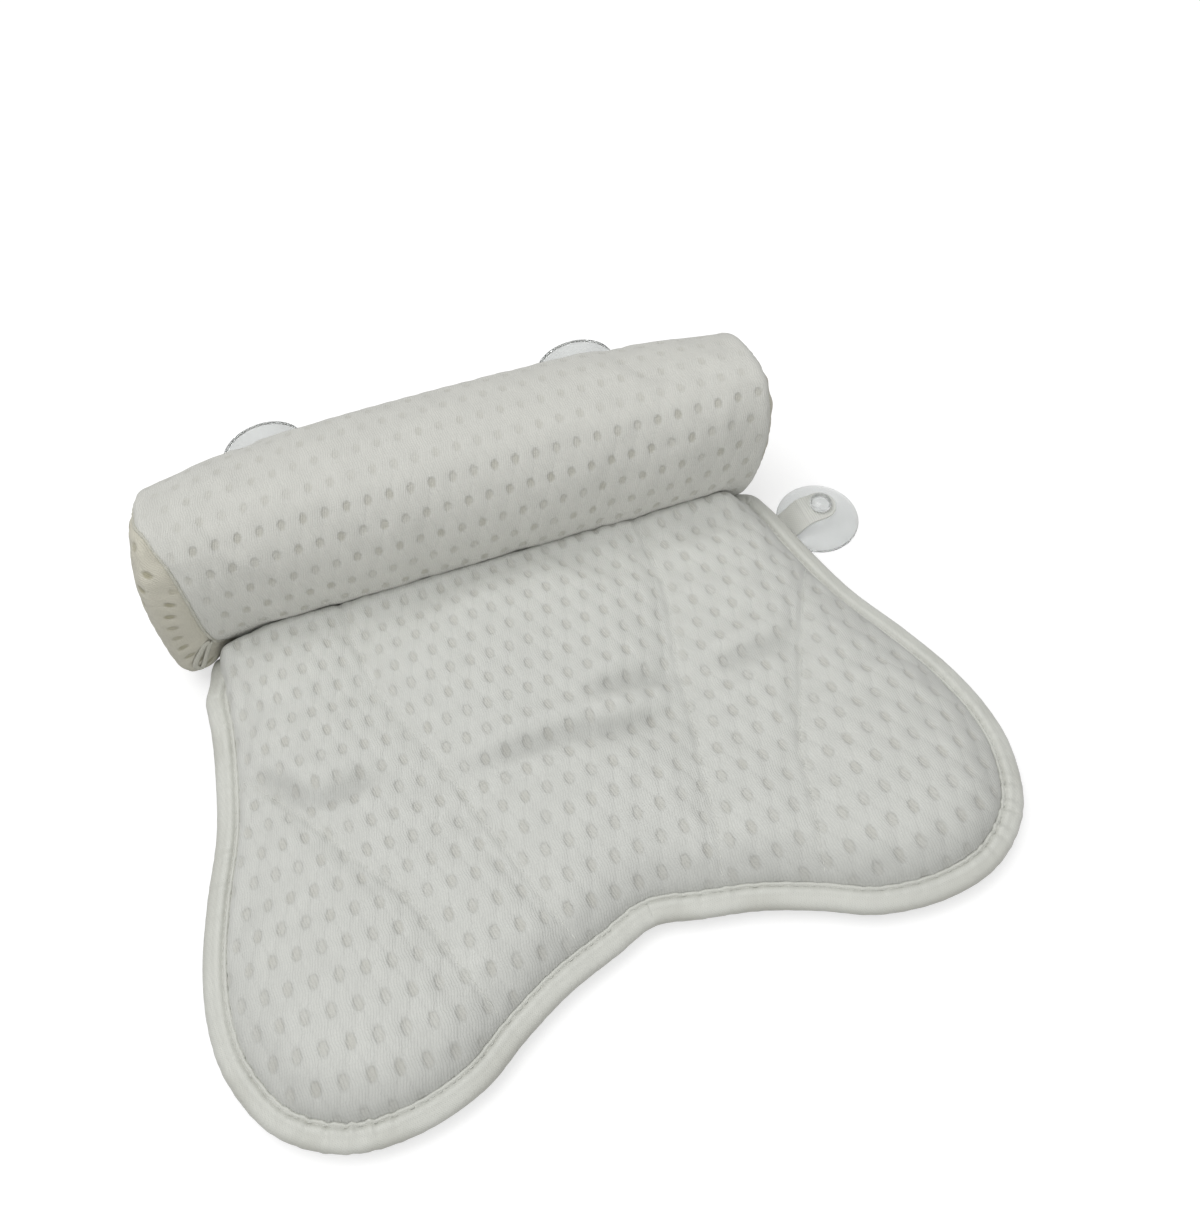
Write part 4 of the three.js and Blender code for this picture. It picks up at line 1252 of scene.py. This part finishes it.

# %% Painted shade on the sides of the binding
inset, z = section.T
# Painted shade on the welt's lower outer side and in the groove by its stitches, in patches.
turned = np.where(inset < 6, 1 - smoothstep(z, 8, 14), 0) + 0.4 * bell(inset, 0.35, 9.1) * (z > 12)
patches = 0.25 * np.sin(round_mm / 9 + 3 * np.sin(round_mm / 37))
turned = np.clip(turned[:, None] + patches[None, :] * (z < 14)[:, None], 0, 1)
store(binding, "turned", turned[at_row, at_column])
close_and_smooth(binding, 0.01 * MM)
dress(binding, satin_tape, "mat", "binding_tape", "mat_edge_binding")

# %% [markdown]
# ## Stitches
#
# Lockstitch shows as short rounded threads with a small gap between them. One stitch is modelled
# from a sphere that is stretched and bent a little, and its copies are laid along each seam, so
# that a reader can count them.

# %% One stitch, laid along a line
STITCH_PITCH = 3.4
STITCH_LENGTH = 2.6
STITCH_THICKNESS = 0.5
STITCH_BEND = 0.9
STITCH_RISE = 0.1
THREAD_STOP = 3
UP = (0.0, 0.0, 1.0)


def stitch_row(name, places, forwards, ups, length, thickness):
    """Copies of one stitch, each at its place, pointing forwards, with its back to up."""
    bpy.ops.mesh.primitive_uv_sphere_add(segments=6, ring_count=5, radius=0.5)
    obj = bpy.context.object
    obj.name = name
    one = corners_of(obj)[:, [2, 0, 1]]
    faces = [list(face.vertices) for face in obj.data.polygons]
    one[:, 2] -= STITCH_BEND * one[:, 0] ** 2
    shaped = one * (length, thickness, thickness)
    axes = np.stack([forwards, np.cross(ups, forwards), ups], axis=1)
    points = places[:, None, :] + shaped @ axes
    all_faces = [[v + k * len(one) for v in face] for k in range(len(places)) for face in faces]
    mesh = bpy.data.meshes.new(name)
    mesh.from_pydata(points.reshape(-1, 3), [], all_faces)
    obj.data = mesh
    make_active(obj)
    bpy.ops.object.shade_smooth()
    return obj


for label, line in QUILT_LINES.items():
    path = smooth_line(line[::4], False, STITCH_PITCH)
    path = path[depth_inside(*path.T) > BINDING_INNER + THREAD_STOP]
    places = np.column_stack([path, top_at(*path.T) + STITCH_RISE])
    ahead = unit(np.gradient(places, axis=0))
    ups = unit(UP - ahead * ahead[:, 2:])
    seam = stitch_row(
        f"quilting_{label}", from_mat(places), ahead, ups, STITCH_LENGTH * MM, STITCH_THICKNESS * MM)
    dress(seam, white_thread, "mat", "thread", f"quilt_seam_{label}")

# %% Stitches of the binding
BINDING_STITCH_INSET = 9.25
BINDING_STITCH_HEIGHT = 13.45
BINDING_STITCH_LENGTH = 0.8 * STITCH_LENGTH
BINDING_STITCH_THICKNESS = 0.45
path = smooth_line(OUTLINE[::10], True, STITCH_PITCH)
ahead = unit(np.roll(path, -1, axis=0) - np.roll(path, 1, axis=0))
is_bound = sewn_zone(*path.T) < 0.02
path, ahead = path[is_bound], ahead[is_bound]
at = path + BINDING_STITCH_INSET * np.column_stack([-ahead[:, 1], ahead[:, 0]])
places = np.column_stack([at, np.full(len(at), BINDING_STITCH_HEIGHT)])
ahead = np.column_stack([ahead, np.zeros(len(at))])
seam = stitch_row(
    "binding_stitches", from_mat(places), ahead, np.tile(UP, (len(at), 1)),
    BINDING_STITCH_LENGTH * MM, BINDING_STITCH_THICKNESS * MM)
dress(seam, white_thread, "mat", "thread")

# %% [markdown]
# ## The roll
#
# The cover is filled tight. As with the mat, the shape comes from the formula, and a coarse closed
# copy is blown up by the simulation. The formula already has the broad swelling, so only the uneven
# bulges of the simulation are added. The seam that joins the cover to each end panel wanders: it
# lies on the end's rim at the top, and is drawn on to the front below.

# %% Lines along the whole roll
ROLL_STATIONS = 161
DOME_STATIONS = 40


def roll_profiles(turns):
    """Lines from the middle of the left end along the roll to the middle of the right end."""
    domes = {}
    for side in (-1, 1):
        ring = roll_skin(turns, np.full(len(turns), float(side)))
        middle = ring[:-1].mean(axis=0)
        domes[side] = []
        for turn in np.linspace(0, math.pi / 2, DOME_STATIONS + 1)[1:]:
            keep = math.cos(turn) ** DOME_ROUND[side] if turn < 1.57 else 0
            bulge = (side * END_BULGE[side] * math.sin(turn), 0, 0)
            domes[side].append(lerp(middle, ring, keep) + bulge)
    tube = [roll_skin(turns, np.full(len(turns), t)) for t in np.linspace(-1, 1, ROLL_STATIONS)]
    path = np.array(domes[-1][::-1] + tube + domes[1])
    length = np.linalg.norm(np.diff(path, axis=0), axis=2)
    return path, np.vstack([np.zeros(len(turns)), np.cumsum(length, axis=0)])


def read_profiles(path, length, at):
    """The places at given lengths along each line."""
    points = np.empty(at.shape + (3,))
    for k in range(at.shape[1]):
        for axis in range(3):
            points[:, k, axis] = np.interp(at[:, k], length[:, k], path[:, k, axis])
    return points


# %% Where the end seams run
SEAM_PAST_RIM = {
    -1: ((-90, -16), (-60, 0), (0, 8), (70, 9), (97, 5), (112, -1), (121, -3.4), (140, -8.8), (162, -12),
         (190, -13.8), (203, -16.5), (211, -26), (225, -32), (250, -28), (270, -16)),
    1: ((-90, 5), (-30, 7), (60, 8), (150, 8), (200, 7), (270, 5)),
}
SEAM_PINCH = 0.9
SEAM_LIP = 0.5


def past_rim(turns, side):
    """How far past the roll's last ring the seam lies, in mm, and below zero before it."""
    path = smooth_line(SEAM_PAST_RIM[side], False, 1)
    return np.interp(np.degrees(turns), path[:, 0], path[:, 1])


def seam_lengths(turns, length):
    """Where the two end seams lie on the lines along the roll."""
    left = length[DOME_STATIONS] - past_rim(turns, -1)
    right = length[DOME_STATIONS + ROLL_STATIONS - 1] + past_rim(turns, 1)
    return left, right


def pinch_at(far):
    """How the cloth is drawn in at a seam and stands up beside it."""
    return SEAM_LIP * bell(far, 2.6, 5) - SEAM_PINCH * bell(far, 1.8)


def grid_normals(points, centre):
    """The directions out of a surface that is given as rings of points."""
    closed = np.concatenate([points[:, -2:-1], points, points[:, 1:2]], axis=1)
    out = np.cross(np.gradient(points, axis=0), (closed[:, 2:] - closed[:, :-2]) / 2)
    out /= np.maximum(np.linalg.norm(out, axis=2, keepdims=True), 1e-9)
    return out * np.sign((out * (points - centre)).sum())


# %% Blow up a coarse roll
ROLL_CAP = 5
COARSE_ROUND, COARSE_ALONG = 48, 46
ROLL_START_IN = 2
BROAD_PASSES = 14
HELD_BELOW = 16


def outwards(angle, along):
    """The direction out of the roll's skin, in the roll's own axes."""
    out = roll_skin(angle, along) - roll_skin(angle, along, 0.5)
    return out / np.maximum(np.linalg.norm(out, axis=-1, keepdims=True), 1e-6)


def broadened(values):
    """The same numbers without their small bumps, on a grid that closes round the roll."""
    for unused in range(BROAD_PASSES):
        values = (np.roll(values, 1, 0) + 2 * values + np.roll(values, -1, 0)) / 4
        edge = np.pad(values, ((0, 0), (1, 1)), mode="edge")
        values = (edge[:, :-2] + 2 * values + edge[:, 2:]) / 4
    return values


def swollen_roll():
    """How far the filled cover stands out of its broad shape, on a coarse grid round and along it."""
    gain = np.zeros((COARSE_ROUND, COARSE_ALONG + 1))
    coarse, girth = even_angles(COARSE_ROUND)
    angle, along = np.meshgrid(coarse, np.linspace(-1, 1, COARSE_ALONG + 1), indexing="ij")
    points = from_roll(roll_skin(angle, along, ROLL_START_IN))
    tube, row, column = grid_piece("roll_filling_test", COARSE_ALONG, COARSE_ROUND, points)
    tag_lines(tube, row, column)
    make_active(tube)
    bpy.ops.object.mode_set(mode="EDIT")
    bpy.ops.mesh.select_all(action="SELECT")
    bpy.ops.mesh.remove_doubles(threshold=0.05 * MM)
    bpy.ops.mesh.select_all(action="DESELECT")
    bpy.ops.mesh.select_mode(type="EDGE")
    bpy.ops.mesh.select_non_manifold()
    bpy.ops.mesh.edge_face_add()
    bpy.ops.mesh.select_all(action="SELECT")
    bpy.ops.mesh.normals_make_consistent(inside=False)
    bpy.ops.mesh.select_mode(type="VERT")
    bpy.ops.object.mode_set(mode="OBJECT")
    at_row, at_column = read_lines(tube)
    before = corners_of(tube)
    held = (at_column == 0) | (at_column == COARSE_ALONG) | (before[:, 2] / MM < HELD_BELOW)
    run_cloth(tube, held)
    moved = capped((corners_of(tube) - before) / MM, ROLL_CAP) @ ROLL_AXES.T
    out = outwards(angle, along)
    gain[at_row % COARSE_ROUND, at_column] = (moved * out[at_row % COARSE_ROUND, at_column]).sum(1)
    uneven = gain - broadened(gain)
    print("the roll swelled by", gain.mean().round(2), "mm, unevenly by", uneven.std().round(2))
    bpy.data.objects.remove(tube)
    return uneven


ROLL_UNEVEN = swollen_roll()
print("the roll's uneven bulges:", np.abs(ROLL_UNEVEN).max().round(2), "mm at most")

# %% The fine cover
ROLL_STEP = 9.4
ROLL_ROW = 13.0
ROLL_DENT = 0.45
ROLL_PUFF = 0.22
TOP_FLAT_AND_LIT = 0.55
UNEVEN_CAP = 1.2
UNEVEN_SHARE = 0.6
NEARLY_CLOSED = 0.999  # how far a last ring is drawn together to close an end
CREST = (math.radians(121), 0.2, 0.7)
WRINKLES = (
    (((112, -0.885), (121, -0.845), (136, -0.81), (152, -0.79), (172, -0.785)), 1.1, 2.6),
    (((128, -0.905), (150, -0.865), (176, -0.855), (196, -0.865)), 0.7, 2.4),
    (((124, -0.73), (138, -0.69), (156, -0.675)), 0.5, 3.0),
    (((126, 0.9), (150, 0.87), (180, 0.88)), 0.6, 3.0),
)


def end_folds(angle, far, phase, height=0.32):
    """Small gathers that run out of an end seam."""
    folds = np.sin(angle * 11 + 1.7 * np.sin(angle * 3) + phase) + 0.6 * np.sin(angle * 19 + 1 + phase)
    return height * folds * np.exp(-far / 11) * smoothstep(far, 0, 3)


def roll_relief(angle, along, girth_mm):
    """The crest along the top's edge and the longer wrinkles near the ends."""
    middle, spread, height = CREST
    total = height * bell(angle, spread, middle)
    for points, height, spread in WRINKLES:
        degrees, places = np.array(points).T
        round_at = np.interp(np.radians(degrees), angle[0], girth_mm[0])
        line = smooth_line(np.column_stack([round_at, places * ROLL_HALF_LENGTH]), False, LINE_SPACING)
        far, side, at = from_line(girth_mm, along * ROLL_HALF_LENGTH, line)
        ridge = bell(far, spread) - 0.6 * bell(far * side, spread, 2 * spread)
        total = total + height * ends_faded(at, len(line) * LINE_SPACING, 0.3) * ridge
    return total


PATH, LENGTH = roll_profiles(angles)
seam_left, seam_right = seam_lengths(angles, LENGTH)
at = lerp(seam_left, seam_right, np.linspace(0, 1, ALONG_CELLS + 1)[:, None])
skin = read_profiles(PATH, LENGTH, at)
outward = grid_normals(skin, skin[ALONG_CELLS // 2].mean(axis=0))
rim_left, rim_right = LENGTH[DOME_STATIONS], LENGTH[DOME_STATIONS + ROLL_STATIONS - 1]
along = 2 * (at - rim_left) / (rim_right - rim_left) - 1
angle = np.tile(angles, (ALONG_CELLS + 1, 1))
girth_mm = np.tile(np.linspace(0, roll_girth, ROUND_CELLS + 1), (ALONG_CELLS + 1, 1))
round_weights = spline_weights(COARSE_ROUND, ROUND_CELLS, True)
along_weights = spline_weights(COARSE_ALONG + 1, ALONG_CELLS + 1)
uneven = along_weights @ ROLL_UNEVEN.T @ round_weights.T
uneven = np.clip(np.concatenate([uneven, uneven[:, :1]], axis=1), -UNEVEN_CAP, UNEVEN_CAP)
from_left, from_right = at - seam_left, seam_right - at
near_end = np.minimum(from_left, from_right)
step = along * ROLL_HALF_LENGTH / ROLL_STEP
row = girth_mm / ROLL_ROW
above = smoothstep(skin[:, :, 2], 10, 30)
on_top = smoothstep(np.degrees(angle), 30, 50) * (1 - smoothstep(np.degrees(angle), 110, 134))
roll_plain_and_lit = 0.85 * bell(near_end, 4) + 0.3 * bell(near_end, 14)
# On the roll's top the dimples are shallower, and their paler colour is painted light from above.
roll_plain_and_lit = np.clip(roll_plain_and_lit + TOP_FLAT_AND_LIT * on_top, 0, 1)
dents = ROLL_DENT * dimple_mask(step, row, ROLL_HALF_STEP, ROLL_HALF_ROW) - ROLL_PUFF * puffs(step, row)
push = UNEVEN_SHARE * uneven * smoothstep(near_end, 3, 22) + roll_relief(angle, along, girth_mm)
push += end_folds(angle, from_left, 0) + end_folds(angle, from_right, 2, 0.12)
push *= above
push += pinch_at(near_end) - dents * (1 - roll_plain_and_lit)
skin = skin + outward * push[:, :, None]
skin[:, :, 2] = np.maximum(skin[:, :, 2], FLOOR_GAP)
cloth = np.dstack([step, row])
first, last = [lerp(skin[k], skin[k].mean(axis=0), NEARLY_CLOSED)[None] for k in (0, -1)]
skin = np.concatenate([first, skin, last])
cloth, roll_plain_and_lit = [np.concatenate([kept[:1], kept, kept[-1:]]) for kept in (cloth, roll_plain_and_lit)]
cover, at_row, at_column = grid_piece(
    "roll_cover", ROUND_CELLS, ALONG_CELLS + 2, from_roll(skin), cloth)
store(cover, "plain", roll_plain_and_lit[at_row, at_column])
close_and_smooth(cover, 0.15 * MM)
dress(cover, roll_mesh, "roll", "mesh_fabric", "bolster_cover", "bolster_core")

# %% [markdown]
# ## The roll's end panels
#
# Each end is closed by a round panel that is cut across the cloth. It starts at the seam, goes round
# the roll's edge without a corner, and ends as a low dome. The dimples are laid out on the flat
# disc that the panel was cut from, by the distance from its middle.

# %% End panels
END_RINGS = 64
END_SPOKES = 200
END_GATHERS = 1.3
WELL_INSIDE = 60


def end_surface(side, spokes):
    """The end panel from its seam to its middle: angles, places, how far from the seam, ways out."""
    turns, girth = even_angles(spokes)
    path, length = roll_profiles(turns)
    seam = seam_lengths(turns, length)[0 if side < 0 else 1]
    last = length[0] if side < 0 else length[-1]
    share = np.linspace(0, 1, END_RINGS + 1)[:, None]
    points = read_profiles(path, length, lerp(seam, last, share))
    inside = points[0].mean(axis=0) - (side * WELL_INSIDE, 0, 0)
    return turns, points, share * np.abs(last - seam), grid_normals(points, inside)


def end_panel(name, side, node):
    """The dimpled panel that closes one end of the roll."""
    turns, points, far, out = end_surface(side, END_SPOKES)
    to_middle = far[-1] - far
    spread = np.arctan2(points[0, :, 2] - points[-1, :, 2], points[0, :, 1] - points[-1, :, 1])
    step = to_middle * np.sin(spread) / ROLL_STEP
    row = to_middle * np.cos(spread) / ROLL_ROW
    plain = 0.85 * bell(far, 4)
    above = smoothstep(points[:, :, 2], 6, 22)
    push = pinch_at(far) + END_GATHERS * end_folds(turns[None, :], far, 4) * above
    dents = ROLL_DENT * dimple_mask(step, row, ROLL_HALF_STEP, ROLL_HALF_ROW)
    push -= (dents - ROLL_PUFF * puffs(step, row)) * (1 - plain)
    push[-1] = push[-1].mean()
    points = points + out * push[:, :, None]
    points[:, :, 2] = np.maximum(points[:, :, 2], FLOOR_GAP)
    inner = lerp(points[0], points[0].mean(axis=0), NEARLY_CLOSED)
    inner[:, 0] = points[0, :, 0].mean()
    points = np.concatenate([inner[None], points])
    cloth = np.dstack([np.concatenate([step[:1], step]), np.concatenate([row[:1], row])])
    panel, at_row, at_column = grid_piece(name, END_SPOKES, END_RINGS + 1, from_roll(points), cloth)
    store(panel, "plain", np.concatenate([plain[:1], plain])[at_row, at_column])
    close_and_smooth(panel, 0.02 * MM)
    dress(panel, end_mesh, "roll", "mesh_fabric", node)


end_panel("roll_end_left", -1, "bolster_end_panel_left")
end_panel("roll_end_right", 1, "bolster_end_panel_right")

# %% [markdown]
# ## The end seams
#
# The cover and each end panel are joined by a seam whose edge is turned out, which shows as a thin
# uneven ridge. At the left end the ridge leaves the seam low in front and its tail lies on the panel
# as a small flat loop, so that loop is read from the same surface as the panel.

# %% End seams
SEAM_RADIUS = 0.75
SEAM_SIDES = 8


def turned_edge(name, path, out, finish, *nodes):
    """A thin cord of cloth along a closed path, the turned edge of a seam."""
    ahead = np.gradient(path, axis=0)
    ahead[0] = ahead[-1] = path[1] - path[-2]
    sideways = np.cross(unit(ahead), out)
    turn = np.linspace(0, 2 * math.pi, SEAM_SIDES + 1)[:, None, None]
    at = np.linspace(0, 2 * math.pi, len(path))
    radius = SEAM_RADIUS * (1 + 0.12 * np.sin(at * 41) + 0.08 * np.sin(at * 67))[None, :, None]
    points = path[None] + radius * (np.cos(turn) * out[None] + np.sin(turn) * sideways[None])
    points[:, :, 2] = np.maximum(points[:, :, 2], 0.1)
    edge, at_row, at_column = grid_piece(name, len(path) - 1, SEAM_SIDES, from_roll(points))
    close_and_smooth(edge, 0.01 * MM)
    dress(edge, finish, "roll", "mesh_fabric", *nodes)


for name, side, node in (("roll_end_seam_left", -1, "bolster_end_piping_left"),
                         ("roll_end_seam_right", 1, "bolster_end_piping_right")):
    turns, points, far, out = end_surface(side, END_SPOKES * 2)
    turned_edge(name, points[0] - out[0] * (SEAM_PINCH - SEAM_LIP * 0.4), out[0], seam_edge, node)

# %% The tail of the left seam
TAIL_LOOP = (
    (197, -13.4), (203, -11), (210, -8), (216, -5.5), (219, -3.8), (214, -2.4), (208, -4.4), (202, -8),
    (197, -11.5),
)
TAIL_WIDTH = 2.4
TAIL_RISE = 1.0
TAIL_DROOP = 0.4
TAIL_THICKNESS = 0.6
TAIL_COLUMNS = 6

turns, points, far, out = end_surface(-1, END_SPOKES * 2)


def on_end(values, degrees, past):
    """A value of the end panel's surface at an angle, and at a distance past the roll's last ring."""
    column = np.interp(degrees, np.degrees(turns), np.arange(len(turns)))
    k = int(column)
    from_seam = far + past_rim(turns, -1)
    read = [[np.interp(past, from_seam[:, c], values[:, c, axis]) for axis in range(3)] for c in (k, k + 1)]
    return lerp(np.array(read[0]), np.array(read[1]), column - k)


loop = smooth_line(TAIL_LOOP, True, 1.2)
loop = np.vstack([loop, loop[:1]])
away = np.array([on_end(out, *place) for place in loop])
ridge = np.array([on_end(points, *place) for place in loop]) + away * TAIL_RISE
wide = np.cross(away, unit(np.gradient(ridge, axis=0)))
share = np.linspace(-0.5, 0.5, TAIL_COLUMNS + 1)[:, None, None]
tail_points = ridge[None] + share * TAIL_WIDTH * wide[None] - TAIL_DROOP * (2 * share) ** 2 * away[None]
tail_points[:, :, 2] = np.maximum(tail_points[:, :, 2], 0.6)
tail, at_row, at_column = grid_piece(
    "roll_seam_tail", len(ridge) - 1, TAIL_COLUMNS, from_roll(tail_points))
thicken(tail, TAIL_THICKNESS)
close_and_smooth(tail, 0.001 * MM)
dress(tail, seam_edge, "roll", "mesh_fabric")

# %% [markdown]
# ## Suction cups
#
# Each cup is moulded in clear vinyl: a thin bell with a flat rim, a neck that goes through the
# tab's buttonhole, and a round head that keeps it there. Its half section is drawn edge by edge
# and spun round, which gives a rounder shape than a stack of cylinders.

# %% Cup section
CUP_SECTION = (
    (0, 3.8), (6, 3.7), (10.5, 3.1), (14.5, 1.9), (17.2, 0.55), (18.4, 0.05), (20.7, 0.05), (21, 0.3),
    (21, 0.9), (20.6, 1.25), (19.3, 2.5), (17.2, 4.2), (15.1, 5.6), (12.4, 7.3), (9.5, 9.1), (7.4, 10.3),
    (6.0, 10.9), (4.4, 11.2), (3.5, 11.5), (3.45, 12.4), (3.5, 13.0), (4.9, 13.05), (5.5, 13.4),
    (5.5, 14.8), (5.0, 15.9), (3.3, 16.8), (1.5, 17.0), (0, 17.0),
)
CUP_STEPS = 56


def spun_cup(name):
    """The section drawn by extruding one corner, then spun round the Z axis."""
    bpy.ops.mesh.primitive_plane_add(size=1)
    obj = bpy.context.object
    obj.name = name
    bpy.ops.object.mode_set(mode="EDIT")
    bpy.ops.mesh.select_mode(type="VERT")
    bpy.ops.mesh.select_all(action="SELECT")
    bpy.ops.mesh.merge(type="CENTER")
    bpy.ops.transform.translate(value=(CUP_SECTION[0][0] * MM, 0, CUP_SECTION[0][1] * MM))
    for (r0, z0), (r1, z1) in zip(CUP_SECTION, CUP_SECTION[1:]):
        bpy.ops.mesh.extrude_vertices_move(
            TRANSFORM_OT_translate={"value": ((r1 - r0) * MM, 0, (z1 - z0) * MM)})
    bpy.ops.mesh.select_all(action="SELECT")
    bpy.ops.mesh.spin(steps=CUP_STEPS, angle=2 * math.pi, center=(0, 0, 0), axis=(0, 0, 1))
    bpy.ops.mesh.select_all(action="SELECT")
    bpy.ops.mesh.remove_doubles(threshold=0.02 * MM)
    bpy.ops.mesh.normals_make_consistent(inside=False)
    bpy.ops.object.mode_set(mode="OBJECT")
    bpy.ops.object.shade_smooth_by_angle(angle=math.radians(50))
    return obj


# %% Where the cups stand
def station(origin, x_axis, z_axis):
    """Places a cup or a tab: its own X and Z axes and its origin, in metres."""
    x_axis, z_axis = Vector(x_axis).normalized(), Vector(z_axis).normalized()
    y_axis = z_axis.cross(x_axis)
    turned = Matrix((x_axis, y_axis, z_axis)).transposed().to_4x4()
    return Matrix.Translation(Vector(origin)) @ turned


joints = {j["name"]: j for j in frame["record"]["behaviour"]["joints"]}
CUP_NAMES = ("wing_left", "wing_right", "shoulder_left", "shoulder_right", "roll_left", "roll_right")
STATIONS = {}
for label in CUP_NAMES:
    spin, fold = joints[f"cup_{label}_turn"], joints[f"tab_{label}_fold"]
    up_axis, centre = Vector(spin["axis"]), Vector(spin["pos_m"])
    STATIONS[label] = station(centre, Vector(fold["axis"]).cross(up_axis), up_axis)
    print(label, "stands at", [round(v / MM, 1) for v in centre])

# %% Place the cups
FIRST_CUP = spun_cup("cup_pattern")
for label in CUP_NAMES:
    copy = FIRST_CUP.copy()
    copy.data = FIRST_CUP.data.copy()
    copy.name = f"cup_{label}"
    bpy.context.collection.objects.link(copy)
    copy.data.transform(STATIONS[label])
    dress(copy, clear_vinyl, f"cup_{label}", "clear_vinyl", f"suction_cup_{label}")
bpy.data.objects.remove(FIRST_CUP)

# %% [markdown]
# ## Fabric tabs
#
# A tab is a short woven tape with a round end and a buttonhole that the cup's neck goes through.
# A grid is wrapped round the hole like a collar and stretched out to the tape's outline, so the
# worked edge of the hole and the hem are part of the mesh.

# %% Tabs
TAB_HALF_WIDTH = 8
TAB_REACH = {"wing": 25.8, "shoulder": 26.5, "roll": 26.5}
TAB_FLAT = 8.5
TAB_MIDDLE = 12.1
TAB_THICKNESS = 1.1
HOLE_RADIUS = 3.9
SEWN_MIDDLE = {"wing": 12.2, "shoulder": 3.6, "roll": 16.7}
SEWN_RUN = {"wing": 0, "shoulder": 6.5, "roll": 0}
TAB_ROUND, TAB_RINGS = 96, 20


def tab_height(x, kind):
    """The middle of the tape's thickness, from where it is sewn on to where the cup holds it."""
    rise = smoothstep(x, -TAB_REACH[kind] + SEWN_RUN[kind], -TAB_FLAT)
    return lerp(SEWN_MIDDLE[kind], TAB_MIDDLE, rise)


def fabric_tab(label):
    """One tab, as a collar round the buttonhole that is stretched to the tape's outline."""
    kind = label.split("_")[0]
    place = STATIONS[label]
    angle = np.linspace(0, 2 * math.pi, TAB_ROUND + 1)
    cos, sin = np.cos(angle), np.sin(angle)
    straight = np.minimum(TAB_HALF_WIDTH / np.maximum(np.abs(sin), 1e-6),
                          TAB_REACH[kind] / np.maximum(np.abs(cos), 1e-6))
    outer = np.where(cos >= 0, TAB_HALF_WIDTH, straight)
    share = np.linspace(0, 1, TAB_RINGS + 1)[:, None]
    radius = lerp(HOLE_RADIUS, outer, share)
    x, y = radius * cos, radius * sin
    worked = bell(radius - HOLE_RADIUS, 0.6, 0.7)
    hem = bell(outer - radius, 0.6, 1.2)
    z = tab_height(x, kind) - TAB_THICKNESS / 2 + 0.12 * worked + 0.08 * hem
    points = np.dstack([x, y, z]) * MM
    spread = points.reshape(-1, 3) @ np.array(place.to_3x3()).T + np.array(place.translation)
    tab, at_row, at_column = grid_piece(
        f"tab_{label}", TAB_ROUND, TAB_RINGS, spread.reshape(points.shape), np.dstack([x, y]))
    close_and_smooth(tab, 0.01 * MM)
    thicken(tab, TAB_THICKNESS)
    bevel = tab.modifiers.new("Bevel", "BEVEL")
    bevel.width = 0.2 * MM
    bevel.segments = 2
    bevel.limit_method = "ANGLE"
    bpy.ops.object.modifier_apply(modifier="Bevel")
    bpy.ops.object.shade_smooth()
    dress(tab, tab_tape, f"tab_{label}", "tab_tape", f"cup_tab_{label}")


for label in CUP_NAMES:
    fabric_tab(label)

# %% [markdown]
# ## The hinge
#
# The roll turns on the seam that joins it to the mat. Inside that seam runs a strip of cloth. Its
# front lies under the binding, its rear goes up the roll, and between them it curves upwards.

# %% Hinge strip
STRIP_HALF_LENGTH = SHOULDER_HALF_WIDTH - 33
STRIP_PATH = ((-11.3, 3.8), (-7.0, 3.8), (-4.0, 3.85), (-2.0, 4.2), (-0.6, 5.2), (0.2, 6.4), (0.7, 7.3))
STRIP_COLUMNS = 112
STRIP_THICKNESS = 0.7
strip_path = smooth_line(STRIP_PATH, False, 0.8)
strip_x = np.linspace(-STRIP_HALF_LENGTH, STRIP_HALF_LENGTH, STRIP_COLUMNS + 1)
lengthways, across = np.meshgrid(strip_x, strip_path[:, 0])
upright = np.meshgrid(strip_x, strip_path[:, 1])[1]
strip, at_row, at_column = grid_piece(
    "hinge_cloth", STRIP_COLUMNS, len(strip_path) - 1,
    from_roll(np.dstack([lengthways, across, upright])), np.dstack([lengthways, across]))
thicken(strip, STRIP_THICKNESS)
close_and_smooth(strip, 0.001 * MM)
dress(strip, hinge_cloth, None, "tab_tape", "hinge_strip")
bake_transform(strip)
